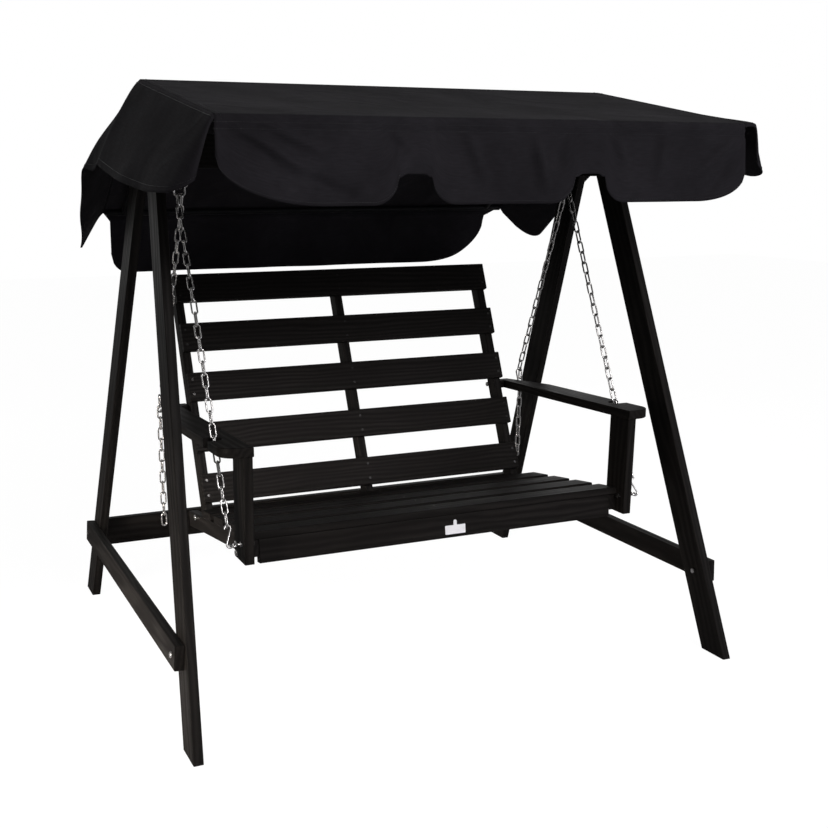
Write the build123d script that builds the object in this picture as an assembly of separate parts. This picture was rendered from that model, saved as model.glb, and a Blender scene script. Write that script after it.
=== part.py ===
"""Porch swing: a stained wooden A-frame stand, a tilting cloth canopy and a seat hung on chains.

Millimetres and degrees. X runs across the swing, Y from front to back and Z up. The origin is on
the floor, in the middle of the stand.
"""
from build123d import *
from math import asin, atan, atan2, cos, degrees, radians, sin, tan
import os

# Boards
board = 28.0  # thickness of the stand, the rails, the posts and the armrests
slat = 22.0  # thickness of the seat and back slats
plank_width = 95.0  # width of the legs, slats and arm posts
edge_round = 3.0  # rounding along every board

# Stand
stand_half_width = 872.0  # leg outer faces at the floor
stand_half_depth = 717.0  # leg outer edges at the floor
apex_height = 1868.0  # where the outer edges of a leg pair would meet
stand_lean = 3.8  # inward lean of each A-frame
mitre = 74.0  # height of the joint face where two legs meet
stretcher_height = 252.0  # middle of the stretchers and of the rear rail
stretcher_width = 70.0
stretcher_inset = 20.0  # leg edge to the end of the stretcher
gusset_height = 120.0
gusset_margin = 14.0  # leg edge to the gusset's slanted side
gusset_gap = 2.0  # below the inner corner of the legs
gusset_bolt_shares = (0.25, 0.8)  # of the gusset's height
coach_shares = (0.3, 0.6)  # of the gusset's height
beam_thickness = 45.0
beam_width = 95.0
beam_drop = 8.0  # below the inner corner of the legs
plate_thickness = 5.0
plate_width = 60.0
plate_foot_rise = 4.0  # above the inner corner of the legs
ridge_rise = 51.0  # ridge tube above the cut tops of the legs

# Canopy
roof_slope = 21.0  # each panel, with the canopy level
canopy_tilt = 11.0  # as stored, the front edge is raised
panel_length = 700.0  # ridge tube to edge tube
canopy_inset = 103.0  # leg outer faces at the floor to the cloth's edge
canopy_half_width = stand_half_width - canopy_inset
ridge_radius = 12.5
bar_radius = 10.0
tube_wall = 1.5
arm_inset = 69.0  # cloth's edge to the middle of a canopy arm
arm_place = canopy_half_width - arm_inset
tube_inset = 8.0  # cloth edge to the end of a tube
cloth = 2.0
cloth_gap = 0.3
valance_drop = 200.0
notch_height = 72.0
notch_width = 96.0
notch_place = canopy_half_width / 3  # middle of each notch, from the middle
lobe_round = 45.0
notch_round = 26.0
end_round = 100.0
wave = 5.0  # depth of the cloth's main folds
valance_folds = 12
flap_folds = 4
flap_depth = 182.0
front_flare = 33.0
rear_flare = 25.0
flap_start = 16.0  # ridge to the rear flap's edge
flap_round = 40.0
flap_tuck = 1.0  # flap's top edge inside the roof's edge

# Seat
seat_front = -430.0  # top front edge of the first slat
seat_height = 515.0
seat_tilt = 8.0
slat_gap = 35.0
slat_count = 4
rail_width = 50.0
front_rail_width = 70.0
front_rail_inset = 5.0
side_rail_inset = 8.0
side_rail_length = 632.0
seat_inset = 258.0  # leg outer faces at the floor to the side rails
seat_half_width = stand_half_width - seat_inset  # outer faces of the side rails
back_place = 532.0  # along the seat, front edge to the foot of the back
back_rise = 15.0  # above the seat
back_lean = 23.5
back_gap = 73.5
back_count = 5
post_depth = 45.0
post_foot = 78.0  # back posts below the lowest back slat
post_front = -472.0
post_foot_height = 436.0
arm_height = 740.0  # underside of the armrest at its post
arm_slope = 1.9
arm_width = 90.0
arm_lap = 2.0  # armrest over the side rail
arm_inner = seat_half_width - arm_lap
arm_front = 52.0  # armrest in front of the middle of its post
arm_rear = 728.0  # armrest behind the middle of its post
arm_taper = 200.0
arm_tail_width = 34.0
arm_corner = 55.0
notch_radius = 22.0
plate_wide = 68.0
plate_high = 27.0
plate_middle = 33.0
plate_drop = 68.0  # seat surface to the middle of the bare plate
plate_sheet = 1.0
tack_rise = 24.0  # middle of the bare plate to the tack above it
tack_head = 3.5
plate_ear = 5.5  # radius of the plate's ear round the tack

# Chains and fittings
hanger_outset = 52.0  # side rail to the middle of a hanger
hanger_place = seat_half_width + hanger_outset
hanger_drop = 47.0  # beam to the swing axis
pin_radius = 4.0
pin_clearance = 0.05
eye_radius = 12.0
eye_width = 13.0
stem_radius = 5.0
bow_wire = 6.0
bow_drop = 30.0
bow_half_width = 16.0
chain_split = 7.0  # each chain from the middle of the shackle
chain_wire = 5.0
chain_pitch = 35.0
chain_inner_width = 11.0
link_gap = 0.3
hook_radius = 9.0
hook_length = 45.0  # between the centres of the two bends
hook_turn = 215.0
ring_radius = 10.0
ring_wire = 6.0
front_eye_back = 27.0  # post front face to the front eye bolt
front_eye_height = 490.0
rear_eye_inset = 14.0  # armrest's rear end to the rear eye bolt
tail_offset = 7.0  # tail beside the taut chain, towards the open side of the hook
tail_count_left = 11
tail_count_right = 8

# Fasteners
bolt_radius = 4.0
bolt_clearance = 0.2
head_radius = 9.0
head_height = 5.0
nut_radius = 8.0
nut_height = 6.0
screw_radius = 2.0
screw_head = 4.0
screw_head_height = 3.0
screw_length = 38.0
screw_spread = 25.0  # each screw from the middle of a slat
coach_length = 66.0
seat_bolt_inset = 35.0  # side rail's front end to its two bolts
seat_bolt_spread = 13.0  # each bolt from the middle of the rail
barrel_radius = 6.0
barrel_depth = 42.0  # rail end to the barrel nut

# Worked out from the sizes above
rake = degrees(atan(stand_half_depth / apex_height))
leg_span = plank_width / cos(radians(rake))
crotch = (stand_half_depth - leg_span) / tan(radians(rake))
leg_top = crotch + mitre
beam_top = crotch - beam_drop
beam_bottom = beam_top - beam_width
swing_height = beam_bottom - hanger_drop
ridge_height = leg_top + ridge_rise
front_slope = roof_slope - canopy_tilt
rear_slope = roof_slope + canopy_tilt
far = 4.0 * apex_height
from_below = (Align.CENTER, Align.CENTER, Align.MIN)
from_above = (Align.CENTER, Align.CENTER, Align.MAX)
parts = {}


def plank(thickness, width, length):
    """A board along Z with its four long edges rounded, thickness along X and width along Y."""
    blank = Box(thickness, width, length)
    return fillet(blank.edges().filter_by(Axis.Z), min(edge_round, thickness / 4))


def set_plank(thickness, width, length, middle, thick_way, long_way):
    return Plane(origin=middle, x_dir=thick_way, z_dir=long_way).location * plank(thickness, width, length)


def mirrored(shape):
    return mirror(shape, about=Plane.YZ)


def both_sides(shapes):
    return shapes + [mirrored(shape) for shape in shapes]


def along_x(shape, start, y, z):
    """Turn a shape built down from Z = 0 so that it points along -X from start."""
    return Pos(start, y, z) * Rot(0, 90, 0) * shape


def rod(radius, length):
    """A round bar from Z = 0 down."""
    return Cylinder(radius, length, align=from_above)


def bolt(grip):
    """A dome-headed bolt with its nut: the head above Z = 0 and the nut below the grip."""
    head = Cylinder(head_radius, head_height, align=from_below)
    head = fillet(head.edges().group_by(Axis.Z)[-1], head_height * 0.8)
    shank = rod(bolt_radius, grip + nut_height)
    nut = extrude(RegularPolygon(nut_radius, 6), nut_height) - Cylinder(bolt_radius, 3 * nut_height)
    return [(head + shank).solid(), (Pos(0, 0, -grip - nut_height) * nut).solid()]


def coach_screw(length):
    head = Cylinder(head_radius * 0.8, head_height, align=from_below)
    return (head + rod(bolt_radius, length)).solid()


def hole(length):
    return rod(bolt_radius + bolt_clearance, length)


def wood_screw():
    """A flat-headed screw from Z = 0 down, the head flush with Z = 0."""
    return (rod(screw_head, screw_head_height) + rod(screw_radius, screw_length)).solid()


def keep(name, *solids):
    """Store one named node, made of one or more separate solids."""
    found = [solid for shape in solids for solid in shape.solids()]
    parts[name] = found


# The stand. Each A-frame is drawn upright with its outer face at X = 0, then leaned inward.
def lean(shape):
    return Pos(stand_half_width, 0, 0) * Rot(0, -stand_lean, 0) * shape


def inner_face_block(depth):
    """Everything inward of a plane that lies depth inside the outer face of the right A-frame."""
    block = Box(far, far, far, align=(Align.MAX, Align.CENTER, Align.CENTER))
    return lean(Pos(-depth, 0, 0) * block)


def leg_middle(height):
    return stand_half_depth - leg_span / 2 - height * tan(radians(rake))


stretcher_bolt = leg_middle(stretcher_height)
gusset_top = crotch - gusset_gap
gusset_bottom = gusset_top - gusset_height
gusset_bolt_heights = [gusset_bottom + share * gusset_height for share in gusset_bolt_shares]
gusset_bolts = [(leg_middle(v), v) for v in gusset_bolt_heights]
coach_heights = [gusset_bottom + share * gusset_height for share in coach_shares]
plate_bolt_height = crotch + mitre / 2
plate_bolt_place = plate_width / 3
leg_floor = Pos(0, 0, leg_top / 2) * Box(far, far, leg_top)


def front_leg():
    blank = Rot(-rake, 0, 0) * plank(board, plank_width, far)
    blank = Pos(-board / 2, -stand_half_depth + leg_span / 2, 0) * blank
    blank = blank & Box(far, far, far, align=(Align.CENTER, Align.MAX, Align.CENTER))
    places = [(stretcher_bolt, stretcher_height)] + gusset_bolts + [(plate_bolt_place, plate_bolt_height)]
    for y, v in places:
        blank = blank - along_x(hole(4 * board), 2 * board, -y, v)
    return (lean(blank) & leg_floor).solid()


leg = front_leg()
rear_leg = mirror(leg, about=Plane.XZ)
keep("leg_front_right", leg)
keep("leg_front_left", mirrored(leg))
keep("leg_rear_right", rear_leg)
keep("leg_rear_left", mirrored(rear_leg))

stretcher_half = stand_half_depth - stretcher_height * tan(radians(rake)) - stretcher_inset
stretcher_middle = (board / 2, 0, stretcher_height)
stretcher = set_plank(board, stretcher_width, 2 * stretcher_half, stretcher_middle, (1, 0, 0), (0, 1, 0))
for y in (-stretcher_bolt, stretcher_bolt):
    stretcher = stretcher - along_x(hole(4 * board), 2 * board, y, stretcher_height)
keep("stretcher_right", lean(stretcher))
keep("stretcher_left", mirrored(lean(stretcher)))

# The rear bolts run through stretcher and leg into the cross rail, where a barrel nut holds them.
rear_bolt_length = 2 * board + barrel_depth + 2 * barrel_radius
rear_bolt_hole = lean(along_x(hole(rear_bolt_length + board), 2 * board, stretcher_bolt, stretcher_height))
barrel_x = -board - barrel_depth
barrel = Rot(90, 0, 0) * Cylinder(barrel_radius, board * 0.86)
barrel = lean(Pos(barrel_x, stretcher_bolt, stretcher_height) * barrel)
rail_height = stretcher_height * cos(radians(stand_lean))
rail_place = (0, stretcher_bolt, rail_height)
rear_rail = set_plank(board, plank_width, 2 * stand_half_width, rail_place, (0, 1, 0), (1, 0, 0))
rear_rail = rear_rail & inner_face_block(board) & mirrored(inner_face_block(board))
for cutter in both_sides([rear_bolt_hole, barrel]):
    rear_rail = rear_rail - cutter
keep("rear_cross_rail", rear_rail)

# A gusset joins each pair of legs inside, and the top beam runs from gusset to gusset.
def edge_place(height):
    return stand_half_depth - height * tan(radians(rake)) - gusset_margin


gusset_outline = [
    (0, -edge_place(gusset_bottom), gusset_bottom),
    (0, edge_place(gusset_bottom), gusset_bottom),
    (0, edge_place(gusset_top), gusset_top),
    (0, -edge_place(gusset_top), gusset_top),
]
gusset = extrude(make_face(Polyline(*gusset_outline, close=True)), amount=board, dir=(-1, 0, 0))
gusset = fillet(gusset.edges().filter_by(GeomType.LINE).filter_by(Axis.X, reverse=True), edge_round)
gusset = Pos(-board, 0, 0) * gusset
for y, v in gusset_bolts:
    for way in (-1, 1):
        gusset = gusset - along_x(hole(4 * board), board, way * y, v)
for v in coach_heights:
    gusset = gusset - along_x(hole(4 * board), board, 0, v)
keep("apex_gusset_right", lean(gusset))
keep("apex_gusset_left", mirrored(lean(gusset)))

beam_middle = (0, 0, (beam_top + beam_bottom) / 2)
beam = set_plank(beam_thickness, beam_width, 2 * stand_half_width, beam_middle, (0, 1, 0), (1, 0, 0))
beam = beam & inner_face_block(2 * board) & mirrored(inner_face_block(2 * board))
coach_holes = [lean(along_x(hole(coach_length), -board, 0, v)) for v in coach_heights]
stem_hole = Pos(hanger_place, 0, beam_middle[2]) * Cylinder(stem_radius + bolt_clearance, 2 * beam_width)
for cutter in both_sides(coach_holes + [stem_hole]):
    beam = beam - cutter
keep("top_beam", beam)

# Pivot plates stand up from the leg tops and cradle the ridge tube, below the roof at any tilt.
plate_foot = crotch + plate_foot_rise
pivot = ridge_height / cos(radians(stand_lean))
plate_reach = pivot + 2 * ridge_radius - plate_foot
plate = Pos(0, 0, plate_foot + plate_reach / 2) * Box(plate_thickness, plate_width, plate_reach)
plate = Pos(-board - plate_thickness / 2, 0, 0) * plate
for y in (-plate_bolt_place, plate_bolt_place):
    plate = plate - along_x(hole(4 * board), board, y, plate_bolt_height)
plate = lean(plate) - Pos(0, 0, ridge_height) * Rot(0, 90, 0) * Cylinder(ridge_radius + pin_clearance, far)
above_roof = Pos(0, 0, ridge_radius - cloth_gap) * Box(far, far, far, align=from_below)
for turn in (-rear_slope, rear_slope):
    plate = plate - Pos(0, 0, ridge_height) * Rot(turn, 0, 0) * above_roof
open_top = ridge_height + ridge_radius * cos(radians(rear_slope))
plate = plate - Pos(0, 0, open_top) * Box(far, far, far, align=from_below)
keep("pivot_plates", *both_sides([plate]))

stand_fasteners = []
for y, v in [(stretcher_bolt, stretcher_height)]:
    stand_fasteners += [lean(along_x(piece, board, -y, v)) for piece in bolt(2 * board)]
rear_bolt = coach_screw(rear_bolt_length)
stand_fasteners += [lean(along_x(rear_bolt, board, stretcher_bolt, stretcher_height))]
barrel_bore = lean(along_x(rod(bolt_radius, far), board, stretcher_bolt, stretcher_height))
stand_fasteners += [barrel - barrel_bore]
for y, v in gusset_bolts:
    for way in (-1, 1):
        stand_fasteners += [lean(along_x(piece, 0, way * y, v)) for piece in bolt(2 * board)]
for v in coach_heights:
    stand_fasteners += [lean(along_x(coach_screw(coach_length), -board, 0, v))]
for y in (-plate_bolt_place, plate_bolt_place):
    grip = board + plate_thickness
    stand_fasteners += [lean(along_x(piece, 0, y, plate_bolt_height)) for piece in bolt(grip)]
keep("stand_fasteners", *both_sides(stand_fasteners))

# Hanger eyes: a stem through the beam, a nut on top, and a bored eye for the shackle pin.
stem_top = beam_top + nut_height
eye = Rot(0, 90, 0) * Cylinder(eye_radius, eye_width)
stem = Pos(0, 0, stem_top - swing_height) * rod(stem_radius, stem_top - swing_height)
eye = eye + stem - Rot(0, 90, 0) * Cylinder(pin_radius + pin_clearance, 2 * eye_width)
eye_nut = extrude(RegularPolygon(nut_radius * 1.2, 6), nut_height) - Cylinder(stem_radius, 3 * nut_height)
hanger = [Pos(hanger_place, 0, swing_height) * eye, Pos(hanger_place, 0, beam_top) * eye_nut]
keep("hanger_eyes", *both_sides(hanger))


# The canopy frame: a ridge tube that turns in the plates, and edge tubes on four arms.
def slope_point(slope, way, distance):
    """A point down a panel, way -1 to the front and 1 to the rear."""
    run = distance * cos(radians(slope))
    return Vector(0, way * run, ridge_height - distance * sin(radians(slope)))


def tube(radius, half_length):
    pipe = Cylinder(radius, 2 * half_length) - Cylinder(radius - tube_wall, 2 * half_length)
    return Rot(0, 90, 0) * pipe


def rod_at(point, radius):
    return Pos(0, point.Y, point.Z) * Rot(0, 90, 0) * Cylinder(radius, far)


ridge_point = slope_point(0, 1, 0)
front_bar = slope_point(front_slope, -1, panel_length)
rear_bar = slope_point(rear_slope, 1, panel_length)
tube_half = canopy_half_width - tube_inset
keep("ridge_tube", Pos(0, ridge_point.Y, ridge_point.Z) * tube(ridge_radius, tube_half))
keep("front_tube", Pos(0, front_bar.Y, front_bar.Z) * tube(bar_radius, tube_half))
keep("rear_tube", Pos(0, rear_bar.Y, rear_bar.Z) * tube(bar_radius, tube_half))


def canopy_arm(bar):
    """A tube from the ridge to an edge tube, its ends shaped to sit against both."""
    way = bar - ridge_point
    middle = ridge_point + way * 0.5
    seat = Plane(origin=(arm_place, middle.Y, middle.Z), x_dir=(1, 0, 0), z_dir=(0, way.Y, way.Z))
    pipe = Cylinder(bar_radius, panel_length) - Cylinder(bar_radius - tube_wall, panel_length)
    arm = seat.location * pipe
    return arm - rod_at(ridge_point, ridge_radius) - rod_at(bar, bar_radius)


for label, bar in (("front", front_bar), ("rear", rear_bar)):
    arm = canopy_arm(bar)
    keep("canopy_arm_" + label + "_right", arm)
    keep("canopy_arm_" + label + "_left", mirrored(arm))


# The roof cloth runs from the front tube over the ridge tube to the rear tube.
def skin_normal(bar, ridge_skin, bar_skin):
    """Angle of the line, square to a panel, that points out of the cloth, from +Y towards +Z."""
    way = bar - ridge_point
    level = degrees(atan2(way.Z, way.Y))
    swing = degrees(asin((ridge_skin - bar_skin) / way.length))
    return level + 90 - swing if way.Y > 0 else level + 270 + swing


def around(point, radius, angle):
    return Vector(0, point.Y + radius * cos(radians(angle)), point.Z + radius * sin(radians(angle)))


def skin_lines(extra):
    """The roof cloth's line in the YZ plane, front to rear, at a height above the tubes."""
    ridge_skin = ridge_radius + extra
    bar_skin = bar_radius + extra
    front = skin_normal(front_bar, ridge_skin, bar_skin)
    rear = skin_normal(rear_bar, ridge_skin, bar_skin)
    arcs = []
    for point, radius, first, last in (
        (front_bar, bar_skin, 180, front),
        (ridge_point, ridge_skin, front, rear),
        (rear_bar, bar_skin, rear, 0),
    ):
        ends = [around(point, radius, angle) for angle in (first, (first + last) / 2, last)]
        arcs.append(ThreePointArc(*ends))
    runs = [Line(arcs[0] @ 1, arcs[1] @ 0), Line(arcs[1] @ 1, arcs[2] @ 0)]
    return [arcs[0], runs[0], arcs[1], runs[1], arcs[2]]


inner = skin_lines(cloth_gap)
outer = skin_lines(cloth_gap + cloth)
ends = [Line(inner[0] @ 0, outer[0] @ 0), Line(inner[-1] @ 1, outer[-1] @ 1)]
roof_face = make_face(inner + outer + ends)
keep("canopy_top", extrude(roof_face, amount=canopy_half_width, dir=(1, 0, 0), both=True))


def cloth_panel(length, folds, outline):
    """Hanging cloth: a folded strip along X, hung down Z from 0 and cut to an outline in XZ."""
    step = length / folds
    first = -step
    last = length + step
    edges = []
    for level in (0, cloth):
        for i in range(-1, folds + 1):
            side = wave if i % 2 else -wave
            start = (i * step, level)
            middle = ((i + 0.5) * step, level + side)
            edges.append(ThreePointArc(start, middle, ((i + 1) * step, level)))
    edges += [Line((first, 0), (first, cloth)), Line((last, 0), (last, cloth))]
    strip = extrude(make_face(edges), amount=2 * valance_drop, both=True)
    return strip & extrude(outline, amount=8 * wave, both=True)


def panel_outline(points):
    return make_face(Polyline(*[(x, 0, z) for x, z in points], close=True))


def rounded(face, radii):
    """Round chosen corners of a flat outline, given as (x, z, radius)."""
    for x, z, radius in radii:
        corner = face.vertices().sort_by_distance((x, 0, z))[0]
        face = fillet(corner, radius)
    return face


valance_length = 2 * canopy_half_width
notch_top = notch_height - valance_drop
notch_middles = (canopy_half_width - notch_place, canopy_half_width + notch_place)
notch_edges = [middle + half * notch_width / 2 for middle in notch_middles for half in (-1, 1)]
front_points = [(0, 0), (0, -valance_drop)]
front_rounds = [(0, -valance_drop, end_round), (valance_length, -valance_drop, end_round)]
for i, x in enumerate(notch_edges):
    pair = [(x, -valance_drop), (x, notch_top)]
    front_points += pair if i % 2 == 0 else pair[::-1]
    front_rounds += [(x, -valance_drop, lobe_round), (x, notch_top, notch_round)]
front_points += [(valance_length, -valance_drop), (valance_length, 0)]
front_outline = rounded(panel_outline(front_points), front_rounds)
rear_points = [(0, 0), (0, -valance_drop), (valance_length, -valance_drop), (valance_length, 0)]
rear_outline = rounded(panel_outline(rear_points), front_rounds[:2])
skirt = bar_radius + cloth_gap
front_corner = (-canopy_half_width, front_bar.Y - skirt - cloth - wave, front_bar.Z - cloth_gap)
front_hang = Plane(origin=front_corner, x_dir=(1, 0, 0), z_dir=(0, 0, 1))
rear_corner = (-canopy_half_width, rear_bar.Y + skirt + wave, rear_bar.Z - cloth_gap)
rear_hang = Plane(origin=rear_corner, x_dir=(1, 0, 0), z_dir=(0, 0, 1))
keep("valance_front", front_hang.location * cloth_panel(valance_length, valance_folds, front_outline))
keep("valance_rear", rear_hang.location * cloth_panel(valance_length, valance_folds, rear_outline))


def side_flap(slope, way, flare, start, side):
    """A flap on one end of the roof, hung square to one panel and flared outward."""
    length = panel_length - start
    points = [(0, 0), (0, -flap_depth), (length, -flap_depth), (length, 0)]
    rounds = [(0, -flap_depth, flap_round), (length, -flap_depth, flap_round)]
    outline = rounded(panel_outline(points), rounds)
    flap = cloth_panel(length, flap_folds, outline)
    down = Vector(0, -way * sin(radians(slope)), -cos(radians(slope)))
    fall = down * cos(radians(flare)) + Vector(side, 0, 0) * sin(radians(flare))
    along = Vector(0, way * cos(radians(slope)), -sin(radians(slope)))
    foot = slope_point(slope, way, start) - down * bar_radius
    origin = Vector(side * (canopy_half_width - flap_tuck), foot.Y, foot.Z)
    return Plane(origin=origin, x_dir=along, z_dir=fall * -1).location * flap


for label, side in (("left", -1), ("right", 1)):
    keep("side_flap_front_" + label, side_flap(front_slope, -1, front_flare, 0, side))
    keep("side_flap_rear_" + label, side_flap(rear_slope, 1, rear_flare, flap_start, side))

# The seat. Points are given across, along the seat from its front edge, and above its surface.
seat_along = Vector(0, cos(radians(seat_tilt)), -sin(radians(seat_tilt)))
seat_up = Vector(0, sin(radians(seat_tilt)), cos(radians(seat_tilt)))
back_up = Vector(0, sin(radians(back_lean)), cos(radians(back_lean)))
back_rear = Vector(0, cos(radians(back_lean)), -sin(radians(back_lean)))
across = Vector(1, 0, 0)


def seat_point(x, along, above):
    return Vector(x, seat_front, seat_height) + seat_along * along + seat_up * above


back_foot = seat_point(0, back_place, back_rise)


def back_point(x, up, behind):
    return Vector(x, 0, 0) + back_foot + back_up * up + back_rear * behind


rail_inner = seat_half_width - board
rail_middle = -slat - rail_width / 2
side_rail_along = side_rail_inset + side_rail_length / 2
side_rail_middle = seat_point(seat_half_width - board / 2, side_rail_along, rail_middle)
side_rail = set_plank(board, rail_width, side_rail_length, side_rail_middle, across, seat_along)
front_middle = seat_point(0, front_rail_inset + board / 2, -slat - front_rail_width / 2)
front_rail = set_plank(board, front_rail_width, 2 * rail_inner, front_middle, seat_along, across)
rear_middle = back_point(0, -post_foot + rail_width / 2, slat - board / 2)
seat_rear_rail = set_plank(board, rail_width, 2 * rail_inner, rear_middle, back_rear, across)
bearer_start = front_rail_inset + board
bearer_end = back_place
bearer_middle = seat_point(0, (bearer_start + bearer_end) / 2, rail_middle)
bearer = set_plank(board, rail_width, bearer_end - bearer_start, bearer_middle, across, seat_along)
behind_rail = Plane(origin=rear_middle - back_rear * (board / 2), x_dir=across, z_dir=back_rear)
bearer = bearer - behind_rail.location * Box(far, far, far, align=from_below)

# Back posts and slats
back_height = back_count * plank_width + (back_count - 1) * back_gap
post_length = back_height + post_foot
post_places = {"left": -rail_inner + board / 2, "centre": 0.0, "right": rail_inner - board / 2}
posts = {}
for label, x in post_places.items():
    middle = back_point(x, (back_height - post_foot) / 2, slat + post_depth / 2)
    posts[label] = set_plank(board, post_depth, post_length, middle, across, back_up)

screws = []
seat_slats = []
for i in range(slat_count):
    along = i * (plank_width + slat_gap) + plank_width / 2
    middle = seat_point(0, along, -slat / 2)
    piece = set_plank(slat, plank_width, 2 * (seat_half_width - cloth_gap), middle, seat_up, across)
    own = []
    for x in (-seat_half_width + board / 2, 0, seat_half_width - board / 2):
        for way in (-1, 1):
            spot = Plane(origin=seat_point(x, along + way * screw_spread, 0), x_dir=across, z_dir=seat_up)
            own.append(spot.location * wood_screw())
    seat_slats.append(piece - own)
    screws += own
    middle_screws = [screw for screw in own if abs(screw.center().X) < board]
    side_rail = side_rail - [screw for screw in own if screw.center().X > rail_inner]
    bearer = bearer - middle_screws
    front_rail = front_rail - middle_screws if i == 0 else front_rail

back_slats = []
for i in range(back_count):
    up = i * (plank_width + back_gap) + plank_width / 2
    piece = set_plank(slat, plank_width, 2 * rail_inner, back_point(0, up, slat / 2), back_rear, across)
    own = []
    for label, x in post_places.items():
        pair = []
        for way in (-1, 1):
            head = back_point(x, up + way * screw_spread, 0)
            spot = Plane(origin=head, x_dir=across, z_dir=back_rear * -1)
            pair.append(spot.location * wood_screw())
        posts[label] = posts[label] - pair
        own += pair
    back_slats.append(piece - own)
    screws += own

# Armrests lie on the arm posts and slope down a little to the back.
post_middle = post_front + plank_width / 2
arm_along = Vector(0, cos(radians(arm_slope)), -sin(radians(arm_slope)))
arm_up = Vector(0, sin(radians(arm_slope)), cos(radians(arm_slope)))
arm_plane = Plane(origin=(0, post_middle, arm_height), x_dir=across, z_dir=arm_up)
arm_outer = arm_inner + arm_width

# Chain ends: the shackle bow above, and an eye bolt's ring below.
post_outer = seat_half_width + board
ring_place = post_outer + ring_radius + ring_wire + bolt_radius * 2
front_ring = Vector(ring_place, post_front + front_eye_back, front_eye_height)
rear_along = arm_rear - rear_eye_inset
rear_spot = Vector(0, post_middle, arm_height) + arm_along * rear_along + arm_up * (board / 2)
rear_ring = Vector(ring_place, rear_spot.Y, rear_spot.Z)
bow_height = swing_height - bow_drop
front_bow = Vector(hanger_place + chain_split, 0, bow_height)
rear_bow = Vector(hanger_place - chain_split, 0, bow_height)
ring_edge = Vector(ring_radius, 0, 0)


def chain_crossing():
    """Where the front chain passes the middle of the armrest."""
    way = front_ring + ring_edge - front_bow
    share = (arm_height + board / 2 - front_bow.Z) / way.Z
    return front_bow + way * share


crossing = chain_crossing()
notch_along = (crossing.Y - post_middle) / cos(radians(arm_slope))
arm_points = [
    (arm_inner, -arm_front),
    (arm_outer, -arm_front),
    (arm_outer, arm_rear - arm_taper),
    (arm_inner + arm_tail_width, arm_rear),
    (arm_inner, arm_rear),
]
arm_face = make_face(Polyline(*arm_points, close=True))
arm_front_corner = arm_face.vertices().sort_by_distance((arm_outer, -arm_front, 0))[0]
arm_face = fillet(arm_front_corner, arm_corner)
arm_bend = arm_face.vertices().sort_by_distance((arm_outer, arm_rear - arm_taper, 0))[0]
arm_face = fillet(arm_bend, arm_corner)
notch_open = Pos(crossing.X + arm_width, notch_along) * Rectangle(2 * arm_width, 2 * notch_radius)
arm_face = arm_face - notch_open - Pos(crossing.X, notch_along) * Circle(notch_radius)
armrest = extrude(arm_face, amount=board)
rims = armrest.edges().group_by(Axis.Z)
armrest = fillet(rims[0] + rims[-1], edge_round)
armrest = arm_plane.location * armrest

arm_post = Pos(seat_half_width + board / 2, post_middle, post_foot_height) * plank(board, plank_width, far)
arm_post = arm_post & Pos(0, 0, post_foot_height) * Box(far, far, far, align=from_below)
arm_post = arm_post & arm_plane.location * Box(far, far, far, align=from_above)
spacer_middle = Vector((rail_inner + arm_inner) / 2, rear_spot.Y, rear_spot.Z)
spacer = set_plank(board, post_depth, arm_inner - rail_inner, spacer_middle, arm_up, across)

# Holes for the bolts and eye bolts of the right side
seat_bolt_along = side_rail_inset + seat_bolt_inset
seat_bolts = [seat_point(0, seat_bolt_along, rail_middle + way * seat_bolt_spread) for way in (1, -1)]
back_bolt = back_point(0, -post_foot / 2, slat + post_depth / 2)
post_holes = [along_x(hole(4 * board), post_outer + board, point.Y, point.Z) for point in seat_bolts]
back_hole = along_x(hole(4 * board), seat_half_width + board, back_bolt.Y, back_bolt.Z)
front_eye_hole = along_x(hole(4 * board), post_outer + board, front_ring.Y, front_ring.Z)
rear_eye_hole = along_x(hole(2 * arm_width + 2 * board), arm_outer, rear_ring.Y, rear_ring.Z)
side_rail = side_rail - post_holes - [back_hole]
arm_post = arm_post - post_holes - [front_eye_hole]
armrest = armrest - rear_eye_hole
spacer = spacer - rear_eye_hole
posts["right"] = posts["right"] - [back_hole, rear_eye_hole]
posts["left"] = mirrored(posts["right"])

for i, piece in enumerate(seat_slats):
    keep("seat_slat_" + str(i + 1), piece)
for i, piece in enumerate(back_slats):
    keep("back_slat_" + str(i + 1), piece)
for label, piece in posts.items():
    keep("back_post_" + label, piece)
keep("seat_rail_right", side_rail)
keep("seat_rail_left", mirrored(side_rail))
keep("seat_front_rail", front_rail)
keep("seat_rear_rail", seat_rear_rail)
keep("seat_bearer", bearer)
keep("arm_post_right", arm_post)
keep("arm_post_left", mirrored(arm_post))
keep("armrest_right", armrest)
keep("armrest_left", mirrored(armrest))
keep("arm_spacers", *both_sides([spacer]))
keep("slat_screws", *screws)

seat_fasteners = []
for point in seat_bolts:
    seat_fasteners += [along_x(piece, post_outer, point.Y, point.Z) for piece in bolt(2 * board)]
seat_fasteners += [along_x(piece, seat_half_width, back_bolt.Y, back_bolt.Z) for piece in bolt(2 * board)]
keep("seat_fasteners", *both_sides(seat_fasteners))

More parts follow.
